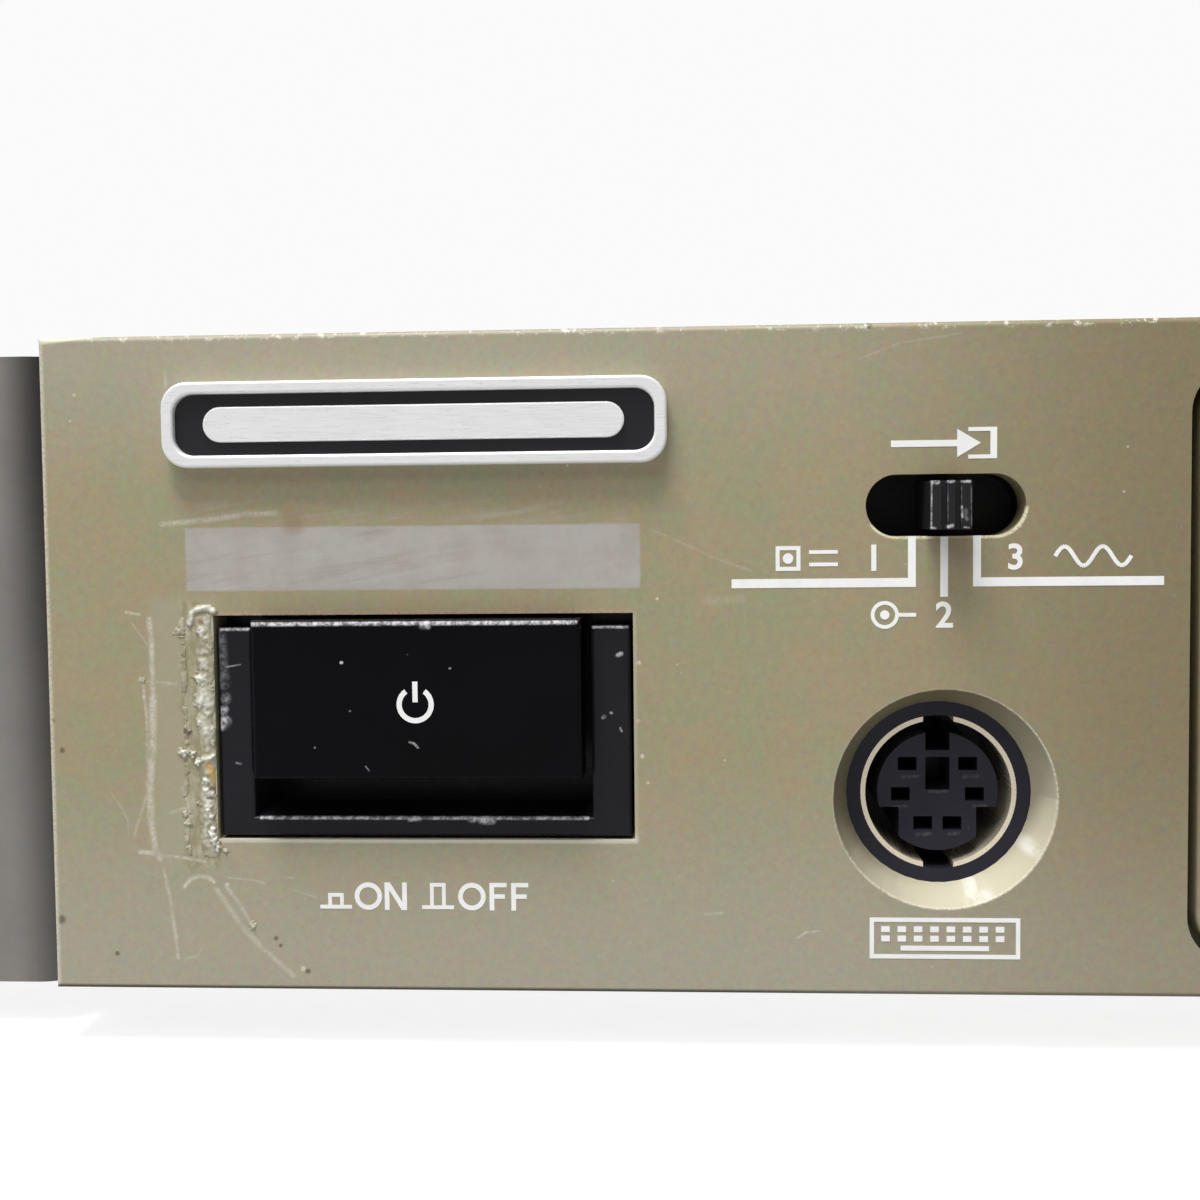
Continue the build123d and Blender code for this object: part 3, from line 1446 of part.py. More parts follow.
# Motors: loading gearbox with its shaft, spindle motor, and the sled's small motor
gearbox_x = slider_x - (gear_face - slider_wall) - seat_gap - gearbox_width
with BuildPart() as mechanism_motors:
    with BuildSketch(Plane.XY.offset(mech_top_z)):
        with Locations((gearbox_x + gearbox_width / 2, gear_y)):
            Rectangle(gearbox_width, gearbox_length)
    extrude(amount=gear_z - mech_top_z + gear_radius)
    with BuildSketch(Plane.YZ.offset(gearbox_x + gearbox_width)):
        with Locations((gear_y, gear_z)):
            Circle(gear_shaft_radius)
    extrude(amount=mech_x + mech_half_width - gearbox_x - gearbox_width)
    with BuildSketch(Plane.XY.offset(mech_top_z)):
        with Locations((mech_x, disc_y)):
            Circle(spindle_motor_radius)
    extrude(amount=spindle_motor_height)
    with BuildSketch(Plane.XY.offset(mech_top_z + spindle_motor_height)):
        with Locations((mech_x, disc_y)):
            Circle(spindle_shaft_radius)
    extrude(amount=turntable_top_z - mech_top_z - spindle_motor_height)
    with BuildSketch(Plane.YZ.offset(mech_x - mech_half_width)):
        with Locations((screw_rod_y, rod_z)):
            Circle(rod_rise)
    extrude(amount=-sled_motor_length)

with BuildPart() as disc_turntable:
    with BuildSketch(Plane.XY.offset(turntable_z)):
        with Locations((mech_x, disc_y)):
            Circle(turntable_radius)
    extrude(amount=turntable_wall)
    with BuildSketch(Plane.XY.offset(turntable_top_z)):
        with Locations((mech_x, disc_y)):
            Circle(hub_radius)
    extrude(amount=hub_height)
    with BuildSketch(Plane.XY.offset(turntable_z)):
        with Locations((mech_x, disc_y)):
            Circle(spindle_shaft_radius + shaft_clearance)
    extrude(amount=turntable_wall + seat_gap, mode=Mode.SUBTRACT)

with BuildPart() as guide_rods:
    with BuildSketch(Plane.YZ.offset(mech_x - mech_half_width)):
        with Locations([(y, rod_z) for y in rod_ys]):
            Circle(rod_radius)
    extrude(amount=2 * mech_half_width)

with BuildPart() as lead_screw:
    with BuildSketch(Plane.YZ.offset(mech_x - mech_half_width)):
        with Locations((screw_rod_y, rod_z)):
            Circle(screw_rod_radius)
    extrude(amount=2 * mech_half_width)

# Pickup sled: a carriage on the two rods, driven by the lead screw, with its lens
sled_x = mech_x - sled_rest
sled_bottom = rod_z - sled_height / 2 + sled_rise
sled_front_y = screw_rod_y - 2 * screw_rod_radius - sled_edge_gap
sled_rear_y = disc_y + rod_offset + 2 * rod_radius + sled_edge_gap
with BuildPart() as pickup_sled:
    with BuildSketch(Plane.XY.offset(sled_bottom)):
        with Locations((sled_x, (sled_front_y + sled_rear_y) / 2)):
            Rectangle(sled_width, sled_rear_y - sled_front_y)
    extrude(amount=sled_height)
    with BuildSketch(Plane.YZ.offset(sled_x - sled_width / 2)):
        with Locations([(y, rod_z) for y in rod_ys]):
            Circle(rod_radius + shaft_clearance)
        with Locations((screw_rod_y, rod_z)):
            Circle(screw_rod_radius + shaft_clearance)
    extrude(amount=sled_width, mode=Mode.SUBTRACT)
    with BuildSketch(Plane.XY.offset(sled_bottom)):
        with Locations((mech_x - sled_inward_travel, disc_y)):
            Circle(spindle_motor_radius + sled_motor_gap)
    extrude(amount=mech_top_z + spindle_motor_height + sled_motor_gap - sled_bottom, mode=Mode.SUBTRACT)
    with BuildSketch(Plane.XY.offset(sled_bottom + sled_height)):
        with Locations((sled_x, disc_y)):
            Circle(lens_radius)
    extrude(amount=lens_height)

# Magnetic head: an arm from the sled, round the back of the holder and over the disc
arm_back_y = face_y + holder_front_depth + holder_length + head_arm_back_gap
arm_front_y = disc_y - head_arm_overhang
arm_top_z = holder_z + holder_inner_height / 2 + holder_wall + head_arm_top_gap
arm_low_z = rod_z + rod_radius + head_arm_rod_gap
with BuildPart() as magnetic_head:
    with BuildSketch(Plane.YZ.offset(sled_x - head_arm_width / 2)):
        with BuildLine():
            Polyline(
                (sled_rear_y, arm_low_z),
                (arm_back_y + head_arm_wall, arm_low_z),
                (arm_back_y + head_arm_wall, arm_top_z + head_arm_wall),
                (arm_front_y, arm_top_z + head_arm_wall),
                (arm_front_y, arm_top_z),
                (arm_back_y, arm_top_z),
                (arm_back_y, arm_low_z + head_arm_wall),
                (sled_rear_y, arm_low_z + head_arm_wall),
                close=True,
            )
        make_face()
    extrude(amount=head_arm_width)


# Main board: on its standoffs, with a block of round capacitors and a row of flat chips
with BuildPart() as main_board:
    with BuildSketch(Plane.XY.offset(board_z)):
        with Locations((main_board_x, main_board_y)):
            Rectangle(main_board_width, main_board_length)
    extrude(amount=circuit_wall)
    with BuildSketch(Plane.XY.offset(board_z + circuit_wall)):
        with Locations((main_board_x, main_board_y)):
            with GridLocations(*main_capacitor_pitch, *main_capacitor_count):
                Circle(main_capacitor_radius)
    extrude(amount=main_capacitor_height)
    with BuildSketch(Plane.XY.offset(board_z + circuit_wall)):
        with Locations((main_board_x, main_board_y - chip_row_share * main_board_length)):
            with GridLocations(main_chip_pitch, 1, main_chip_count, 1):
                Rectangle(main_chip_size, main_chip_size)
    extrude(amount=main_chip_height)

# Power supply board: tall capacitors, and two heat sinks at the front
with BuildPart() as power_board:
    with BuildSketch(Plane.XY.offset(board_z)):
        with Locations((power_board_x, power_board_y)):
            Rectangle(power_board_width, power_board_length)
    extrude(amount=circuit_wall)
    with BuildSketch(Plane.XY.offset(board_z + circuit_wall)):
        with Locations((power_board_x, power_board_y)):
            with GridLocations(*power_capacitor_pitch, *power_capacitor_count):
                Circle(power_capacitor_radius)
    extrude(amount=power_capacitor_height)
    with BuildSketch(Plane.XY.offset(board_z + circuit_wall)):
        with Locations((power_board_x, power_board_y - chip_row_share * power_board_length)):
            with GridLocations(power_chip_pitch, 1, power_chip_count, 1):
                Rectangle(power_chip_size, power_chip_size / 2)
    extrude(amount=power_chip_height)

# Transformer: laminated core with its coil showing on both sides
with BuildPart() as power_transformer:
    with BuildSketch(Plane.XY.offset(floor_z)):
        with Locations((transformer_x, transformer_y)):
            Rectangle(transformer_width, transformer_length - 2 * transformer_coil)
    extrude(amount=transformer_height)
    with BuildSketch(Plane.XY.offset(floor_z + transformer_coil_inset)):
        with Locations((transformer_x, transformer_y)):
            RectangleRounded(
                transformer_width - 2 * transformer_core_inset, transformer_length, transformer_coil_inset
            )
    extrude(amount=transformer_height - 2 * transformer_coil_inset)
    with BuildSketch(Plane.XY.offset(floor_z)):
        with Locations((transformer_x, transformer_y)):
            Rectangle(transformer_foot_width, transformer_foot_length)
    extrude(amount=transformer_foot_wall)

# Write every piece as its own file
sides = {"left": -1, "right": 1}
for name, side in sides.items():
    save(rack_ear(side), f"rack_ear_{name}")
save(side_screws([(y, ear_screw_z) for y in ear_screw_ys], panel_width / 2 + ear_wall), "ear_screws")
save(side_screws([(y, cover_screw_z) for y in cover_screw_ys], panel_width / 2), "cover_screws")
for name, centre in zip(key_names, key_centres):
    key = push_button(centre, key_width, key_height, key_proud, panel_wall, key_corner_radius)
    save(key, f"{name}_button")
for name, centre in zip(function_names, function_centres):
    button = push_button(centre, function_width, function_height, function_proud, panel_wall)
    save(button, f"{name}_button")
eject_wall_depth = panel_wall + deck_flange_wall
save(push_button(eject_centre, eject_width, eject_height, eject_proud, eject_wall_depth), "eject_button")
single_pieces = {
    "front_panel": front_panel,
    "nameplate_rim": nameplate_rim,
    "nameplate_inlay": nameplate_inlay,
    "power_bezel": power_bezel,
    "power_button": power_button,
    "power_switch": power_switch,
    "input_switch_body": input_switch_body,
    "input_switch_knob": input_switch_knob,
    "keyboard_jack": keyboard_jack,
    "keyboard_jack_shield": keyboard_jack_shield,
    "deck_bezel": deck_bezel,
    "display_window": display_window,
    "display_module": display_module,
    "slot_door": slot_door,
    "front_board": front_board,
    "rotary_controls": rotary_controls,
    "jog_collar": jog_collar,
    "jog_shaft": jog_shaft,
    "jog_dial": jog_dial,
    "record_level_ring": record_level_ring,
    "record_level_knob": record_level_knob,
    "phones_level_knob": phones_level_knob,
    "phones_jack": phones_jack,
    "chassis_base": chassis_base,
    "top_cover": top_cover,
    "rear_panel": rear_panel,
    "ac_inlet": ac_inlet,
    "analog_jacks": analog_jacks,
    "digital_jacks": digital_jacks,
    "remote_ports": remote_ports,
    "feet": feet,
    "mechanism_frame": mechanism_frame,
    "mechanism_dampers": mechanism_dampers,
    "cartridge_holder": cartridge_holder,
    "loading_slider": loading_slider,
    "loading_gear": loading_gear,
    "mechanism_motors": mechanism_motors,
    "disc_turntable": disc_turntable,
    "guide_rods": guide_rods,
    "lead_screw": lead_screw,
    "pickup_sled": pickup_sled,
    "magnetic_head": magnetic_head,
    "main_board": main_board,
    "power_board": power_board,
    "power_transformer": power_transformer,
}
for name, builder in single_pieces.items():
    save(builder.part, name)
print("overall", rack_width, overall_depth, panel_bottom + panel_height)
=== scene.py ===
import json
import math
from functools import reduce

import bmesh
import bpy
from mathutils import Matrix, Vector, noise
from mathutils.geometry import delaunay_2d_cdt


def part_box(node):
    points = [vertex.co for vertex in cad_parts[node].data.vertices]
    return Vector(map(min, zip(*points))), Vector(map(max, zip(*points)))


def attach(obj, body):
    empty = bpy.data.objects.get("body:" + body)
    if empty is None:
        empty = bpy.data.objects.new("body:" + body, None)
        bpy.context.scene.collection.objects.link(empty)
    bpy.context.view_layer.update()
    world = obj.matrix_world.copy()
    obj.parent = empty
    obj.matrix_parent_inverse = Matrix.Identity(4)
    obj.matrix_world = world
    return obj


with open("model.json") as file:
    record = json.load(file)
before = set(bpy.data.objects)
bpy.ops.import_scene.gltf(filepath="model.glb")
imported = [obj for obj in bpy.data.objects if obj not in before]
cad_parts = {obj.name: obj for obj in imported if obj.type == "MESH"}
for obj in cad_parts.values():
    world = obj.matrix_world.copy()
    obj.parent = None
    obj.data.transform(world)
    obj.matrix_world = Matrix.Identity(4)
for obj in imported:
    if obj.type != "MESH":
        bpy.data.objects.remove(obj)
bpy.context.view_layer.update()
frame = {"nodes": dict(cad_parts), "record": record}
nodes = frame["nodes"]
mounts = {mount["name"]: mount for mount in frame["record"]["mounts"]}

MM = 0.001
WHITE = (1.0, 1.0, 1.0, 1.0)
BLACK = (0.0, 0.0, 0.0, 1.0)

panel_low, panel_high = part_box("front_panel")
panel_width = (panel_high.x - panel_low.x) / MM
face_y = panel_low.y


def on_panel(x, z, proud=0.0):
    """A place on the front panel, in mm from its left and bottom edges, as a point in the row frame."""
    return Vector((panel_low.x + x * MM, face_y - proud * MM, panel_low.z + z * MM))


def middle_of(node):
    """The middle of a node, in mm on the front panel."""
    low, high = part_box(node)
    middle = (low + high) / 2
    return ((middle.x - panel_low.x) / MM, (middle.z - panel_low.z) / MM)


def front_of(node):
    """The middle of a node's front face, in the row frame."""
    low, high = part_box(node)
    return Vector(((low.x + high.x) / 2, low.y, (low.z + high.z) / 2))


def radius_of(knob):
    """A knob's radius in mm."""
    low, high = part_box(knob)
    return (high.x - low.x) / 2 / MM


def link(thing):
    bpy.context.scene.collection.objects.link(thing)


# Camera: the photograph's view of the panel's left end, looking slightly left and down
CAMERA_PLACE = (44.0, 31.9, 104.1)
CAMERA_TURNS = (-3.75, 3.21, -0.62)
LENS, SENSOR_WIDTH, CLIP_START = 48, 36, 0.005


def place_camera():
    """The place is in mm on the panel and out from it, and the turns are yaw, pitch and roll in degrees."""
    yaw, pitch, roll = (math.radians(angle) for angle in CAMERA_TURNS)
    forward = Vector((math.sin(yaw) * math.cos(pitch), math.cos(yaw) * math.cos(pitch), -math.sin(pitch)))
    level_right = Vector((math.cos(yaw), -math.sin(yaw), 0.0))
    level_up = level_right.cross(forward)
    right = math.cos(roll) * level_right + math.sin(roll) * level_up
    up = math.cos(roll) * level_up - math.sin(roll) * level_right
    data = bpy.data.cameras.new("photo_camera")
    data.lens = LENS
    data.sensor_width = SENSOR_WIDTH
    data.clip_start = CLIP_START
    camera = bpy.data.objects.new("photo_camera", data)
    turn = Matrix((right, up, -forward)).transposed()
    camera.matrix_world = Matrix.Translation(on_panel(*CAMERA_PLACE)) @ turn.to_4x4()
    link(camera)
    bpy.context.scene.camera = camera


# Materials: node helpers


def colour(red, green, blue):
    """A colour given as it looks on a screen, 0 to 255, as linear light with full alpha."""
    channels = []
    for value in (red, green, blue):
        share = value / 255
        channels.append(share / 12.92 if share <= 0.04045 else ((share + 0.055) / 1.055) ** 2.4)
    return (*channels, 1.0)


def lit(shade, factor):
    """The same colour, lighter or darker by a factor."""
    return tuple(min(1.0, channel * factor) for channel in shade[:3]) + (1.0,)


def flat(spot):
    """A place on the panel, in mm, as a vector with no depth."""
    return (spot[0], 0.0, spot[1])


class Nodes:
    """A node tree with short calls for the nodes used here."""

    def __init__(self, tree):
        self.tree = tree

    def feed(self, socket, value):
        if isinstance(value, bpy.types.NodeSocket):
            self.tree.links.new(value, socket)
        else:
            socket.default_value = value

    def add(self, kind, inputs=(), **settings):
        """A new node with its settings, and its inputs by name or number."""
        node = self.tree.nodes.new(kind)
        for key, value in settings.items():
            setattr(node, key, value)
        for key, value in dict(inputs).items():
            self.feed(node.inputs[key], value)
        return node

    def maths(self, operation, *values):
        return self.add("ShaderNodeMath", enumerate(values), operation=operation).outputs[0]

    def joined(self, operation, values):
        """All the values put through an operation, two at a time."""
        return reduce(lambda first, second: self.maths(operation, first, second), values)

    def times(self, *values):
        return self.joined("MULTIPLY", values)

    def minus(self, first, second):
        return self.maths("SUBTRACT", first, second)

    def apart(self, first, second):
        """How far two values lie from each other."""
        return self.maths("ABSOLUTE", self.minus(first, second))

    def vector(self, operation, *values):
        node = self.add("ShaderNodeVectorMath", enumerate(values), operation=operation)
        return node.outputs["Value" if operation in ("LENGTH", "DISTANCE", "DOT_PRODUCT") else "Vector"]

    def scaled(self, vector, factor):
        inputs = {0: vector, "Scale": factor}
        return self.add("ShaderNodeVectorMath", inputs, operation="SCALE").outputs["Vector"]

    def stretched(self, vector, factors):
        return self.vector("MULTIPLY", vector, factors)

    def parts(self, vector):
        return self.add("ShaderNodeSeparateXYZ", {0: vector}).outputs

    def noise(self, vector, scale, detail=2.0, roughness=0.5, output="Fac"):
        inputs = {"Vector": vector, "Scale": scale, "Detail": detail, "Roughness": roughness}
        return self.add("ShaderNodeTexNoise", inputs).outputs[output]

    def cells(self, vector, scale, output="Distance"):
        return self.add("ShaderNodeTexVoronoi", {"Vector": vector, "Scale": scale}).outputs[output]

    def ramp(self, value, low, high, start=0.0, end=1.0, smooth=True):
        """Turns a value that runs from low to high into one that runs from start to end."""
        inputs = enumerate((value, low, high, start, end))
        kind = "SMOOTHSTEP" if smooth else "LINEAR"
        return self.add("ShaderNodeMapRange", inputs, interpolation_type=kind, clamp=not smooth).outputs[0]

    def spread(self, value, start=0.0, end=1.0):
        """A ramp over the middle of a noise's range."""
        return self.ramp(value, 0.3, 0.7, start, end)

    def mix(self, first, second, factor, blend="MIX"):
        inputs = {0: factor, 6: first, 7: second}
        return self.add("ShaderNodeMix", inputs, data_type="RGBA", blend_type=blend).outputs[2]

    def to_spot(self, point, centre):
        return self.vector("DISTANCE", point, flat(centre))

    def to_run(self, point, start, end):
        """Distance from a point to a straight run on the panel."""
        inputs = {"Point": point, "Start": flat(start), "End": flat(end)}
        return self.add("ShaderNodeGroup", inputs, node_tree=run_group).outputs[0]

    def to_path(self, point, path):
        """Distance from a point to the nearest run of a path."""
        return self.joined("MINIMUM", [self.to_run(point, *ends) for ends in zip(path, path[1:])])

    def to_box(self, point, low, high):
        """Distance from a point to a box's edge on the panel, below nought inside it."""
        middle = flat([(a + b) / 2 for a, b in zip(low, high)])
        half = flat([(b - a) / 2 for a, b in zip(low, high)])
        inputs = {"Point": point, "Centre": middle, "Half": half}
        return self.add("ShaderNodeGroup", inputs, node_tree=box_group).outputs[0]


def new_group(name, labels):
    """An empty node group with vectors as inputs and a distance as output."""
    tree = bpy.data.node_groups.new(name, "ShaderNodeTree")
    for label in labels:
        tree.interface.new_socket(label, in_out="INPUT", socket_type="NodeSocketVector")
    tree.interface.new_socket("Distance", in_out="OUTPUT", socket_type="NodeSocketFloat")
    given = tree.nodes.new("NodeGroupInput").outputs
    return Nodes(tree), given, tree.nodes.new("NodeGroupOutput").inputs[0]


def make_run_group():
    n, given, result = new_group("distance_to_run", ("Point", "Start", "End"))
    run = n.vector("SUBTRACT", given["End"], given["Start"])
    reach = n.vector("SUBTRACT", given["Point"], given["Start"])
    along = n.maths("DIVIDE", n.vector("DOT_PRODUCT", reach, run), n.vector("DOT_PRODUCT", run, run))
    along = n.maths("MINIMUM", n.maths("MAXIMUM", along, 0.0), 1.0)
    aside = n.vector("SUBTRACT", reach, n.scaled(run, along))
    n.feed(result, n.vector("LENGTH", aside))
    return n.tree


def make_box_group():
    n, given, result = new_group("distance_to_box", ("Point", "Centre", "Half"))
    offset = n.vector("ABSOLUTE", n.vector("SUBTRACT", given["Point"], given["Centre"]))
    outside = n.parts(n.vector("SUBTRACT", offset, given["Half"]))
    beyond = {axis: n.maths("MAXIMUM", outside[axis], 0.0) for axis in "XZ"}
    beyond = n.add("ShaderNodeCombineXYZ", beyond).outputs[0]
    inside = n.maths("MINIMUM", n.maths("MAXIMUM", outside["X"], outside["Z"]), 0.0)
    n.feed(result, n.maths("ADD", n.vector("LENGTH", beyond), inside))
    return n.tree


run_group = make_run_group()
box_group = make_box_group()


class Finish(Nodes):
    """A material whose colour, roughness and bump are worked out from the place on the object."""

    def __init__(self, name):
        self.material = bpy.data.materials.new(name)
        self.material.use_nodes = True
        super().__init__(self.material.node_tree)
        self.shader = self.tree.nodes["Principled BSDF"]
        self.place = self.add("ShaderNodeTexCoord").outputs["Object"]

    def panel_place(self):
        """The place on the front panel in mm, with the depth left out."""
        shifted = self.vector("SUBTRACT", self.place, tuple(on_panel(0, 0)))
        return self.stretched(shifted, (1 / MM, 0.0, 1 / MM))

    def grain(self, size, detail=3.0, roughness=0.6, output="Fac"):
        """Noise with lumps of a size in mm."""
        return self.noise(self.place, 1 / (size * MM), detail, roughness, output)

    def start(self, dark, light, amount):
        """The colour that the others are laid over, mixed from two."""
        self.shade = self.mix(dark, light, amount)

    def vary(self, shade, share, value):
        """One colour as a start, made darker and lighter by a share as a noise runs."""
        self.start(lit(shade, 1 - share), lit(shade, 1 + share), self.spread(value))

    def lay(self, shade, *amounts, blend="MIX"):
        """Lays a colour over what is there so far, as thick as the amounts multiplied."""
        self.shade = self.mix(self.shade, shade, self.times(*amounts), blend)

    def set(self, **values):
        """Sets the shader's own sockets. An underscore stands for a space."""
        for key, value in values.items():
            self.feed(self.shader.inputs[key.replace("_", " ")], value)

    def done(self, roughness, height, depth, strength=0.5, **values):
        """Gives the shader its colour, its roughness, other values and a bump with a depth in mm."""
        inputs = {"Strength": strength, "Distance": depth * MM, "Height": height}
        bump = self.add("ShaderNodeBump", inputs).outputs["Normal"]
        self.set(Base_Color=self.shade, Roughness=roughness, Normal=bump, **values)
        return self.material


# The panel's left end, in mm from the panel's left and bottom edges
PATCH_LOW, PATCH_HIGH = (9.7, 26.85), (39.8, 31.0)
GLUE_LOW, GLUE_HIGH = (9.2, 8.2), (11.45, 26.0)
OPENING_LOW, OPENING_HIGH = (11.42, 10.2), (39.32, 25.2)
DISH_CENTRE, DISH_RADIUS = (59.45, 12.9), 7.2
SLOT_ENDS, SLOT_RADIUS = ((56.38, 32.0), (62.58, 32.0)), 2.0
PAINT = colour(156, 148, 119)
BARE = colour(212, 205, 190)

# Each scratch is a path, its half width and its strength
PANEL_SCRATCHES = (
    ([(8.1, 31.3), (11.0, 31.5), (13.4, 31.85), (15.8, 31.95)], 0.20, 0.55),
    ([(7.1, 25.0), (7.2, 23.3), (7.2, 19.8)], 0.20, 0.75),
    ([(7.2, 19.8), (7.1, 16.4), (6.85, 14.1), (6.85, 11.3)], 0.28, 0.75),
    ([(6.85, 11.3), (7.1, 9.5), (7.4, 8.9)], 0.22, 0.7),
    ([(7.65, 8.1), (8.0, 6.3), (8.35, 3.5), (8.45, 2.2)], 0.14, 0.55),
    ([(6.6, 21.0), (6.6, 19.8), (6.75, 18.4), (6.75, 15.5)], 0.13, 0.5),
    ([(6.3, 20.9), (8.3, 20.7), (8.8, 20.65)], 0.11, 0.5),
    ([(4.2, 13.3), (4.85, 12.3), (5.25, 11.5), (5.3, 10.5)], 0.09, 0.25),
    ([(6.6, 13.1), (6.15, 11.9), (5.7, 10.5)], 0.12, 0.38),
    ([(6.05, 9.3), (7.3, 9.25)], 0.17, 0.95),
    ([(7.3, 9.15), (8.9, 8.95), (10.5, 8.7)], 0.11, 0.62),
    ([(9.05, 7.0), (9.45, 7.5), (10.05, 7.7), (10.65, 7.6), (11.05, 7.3)], 0.15, 0.95),
    ([(11.2, 6.8), (13.0, 4.15), (14.35, 2.75), (16.3, 1.0)], 0.20, 0.5),
    ([(11.9, 7.0), (12.8, 5.75), (13.6, 4.4)], 0.15, 0.55),
    ([(9.1, 2.15), (9.7, 2.2), (10.05, 2.75)], 0.09, 0.35),
    ([(5.5, 25.45), (6.4, 25.3)], 0.11, 0.75),
    ([(5.9, 24.7), (6.5, 23.9), (6.9, 23.3)], 0.08, 0.3),
    ([(12.05, 7.6), (13.7, 7.45), (14.5, 7.25)], 0.08, 0.4),
    ([(15.85, 7.65), (16.45, 7.6)], 0.08, 0.35),
    ([(16.6, 6.75), (18.0, 6.3)], 0.09, 0.4),
    ([(8.2, 12.0), (9.2, 12.3), (9.6, 11.2)], 0.13, 0.45),
    ([(9.0, 13.7), (9.4, 12.6), (9.5, 11.5)], 0.10, 0.5),
    ([(54.0, 41.4), (56.6, 42.4), (60.4, 42.9)], 0.08, 0.2),
    ([(43.9, 5.32), (45.0, 5.4)], 0.10, 0.4),
    ([(49.9, 3.76), (50.5, 4.15), (51.3, 4.22)], 0.07, 0.7),
    ([(8.6, 40.4), (8.6, 41.4)], 0.13, 0.4),
    ([(14.7, 40.3), (16.6, 40.4)], 0.22, 0.6),
    ([(40.6, 30.6), (45.2, 28.5), (47.0, 27.9)], 0.10, 0.18),
    ([(44.2, 25.95), (45.6, 26.0), (46.4, 26.1)], 0.35, 0.16),
)
# Spots are a place and a radius
DARK_SPOTS = (
    ((0.9, 16.2), 0.28), ((0.5, 4.7), 0.42), ((4.3, 2.4), 0.24), ((0.35, 18.2), 0.2),
    ((17.3, 1.3), 0.26), ((15.2, 3.5), 0.22), ((15.5, 3.0), 0.18), ((54.6, 43.5), 0.3),
)
PALE_SPOTS = (
    ((13.65, 4.3), 0.28), ((6.95, 9.25), 0.28), ((11.95, 7.15), 0.2), ((6.45, 20.95), 0.24),
    ((6.6, 19.8), 0.16), ((8.45, 2.15), 0.2), ((17.0, 1.45), 0.24), ((2.4, 39.9), 0.16),
    ((39.66, 21.9), 0.24), ((39.6, 18.1), 0.18), ((39.85, 15.8), 0.2), ((40.2, 14.0), 0.15),
    ((40.9, 26.1), 0.13),
)
# Painted highlights in the keyboard socket's dish, a place and a radius
DISH_HIGHLIGHTS = (((61.7, 6.5), 1.3), ((65.1, 9.6), 0.8))


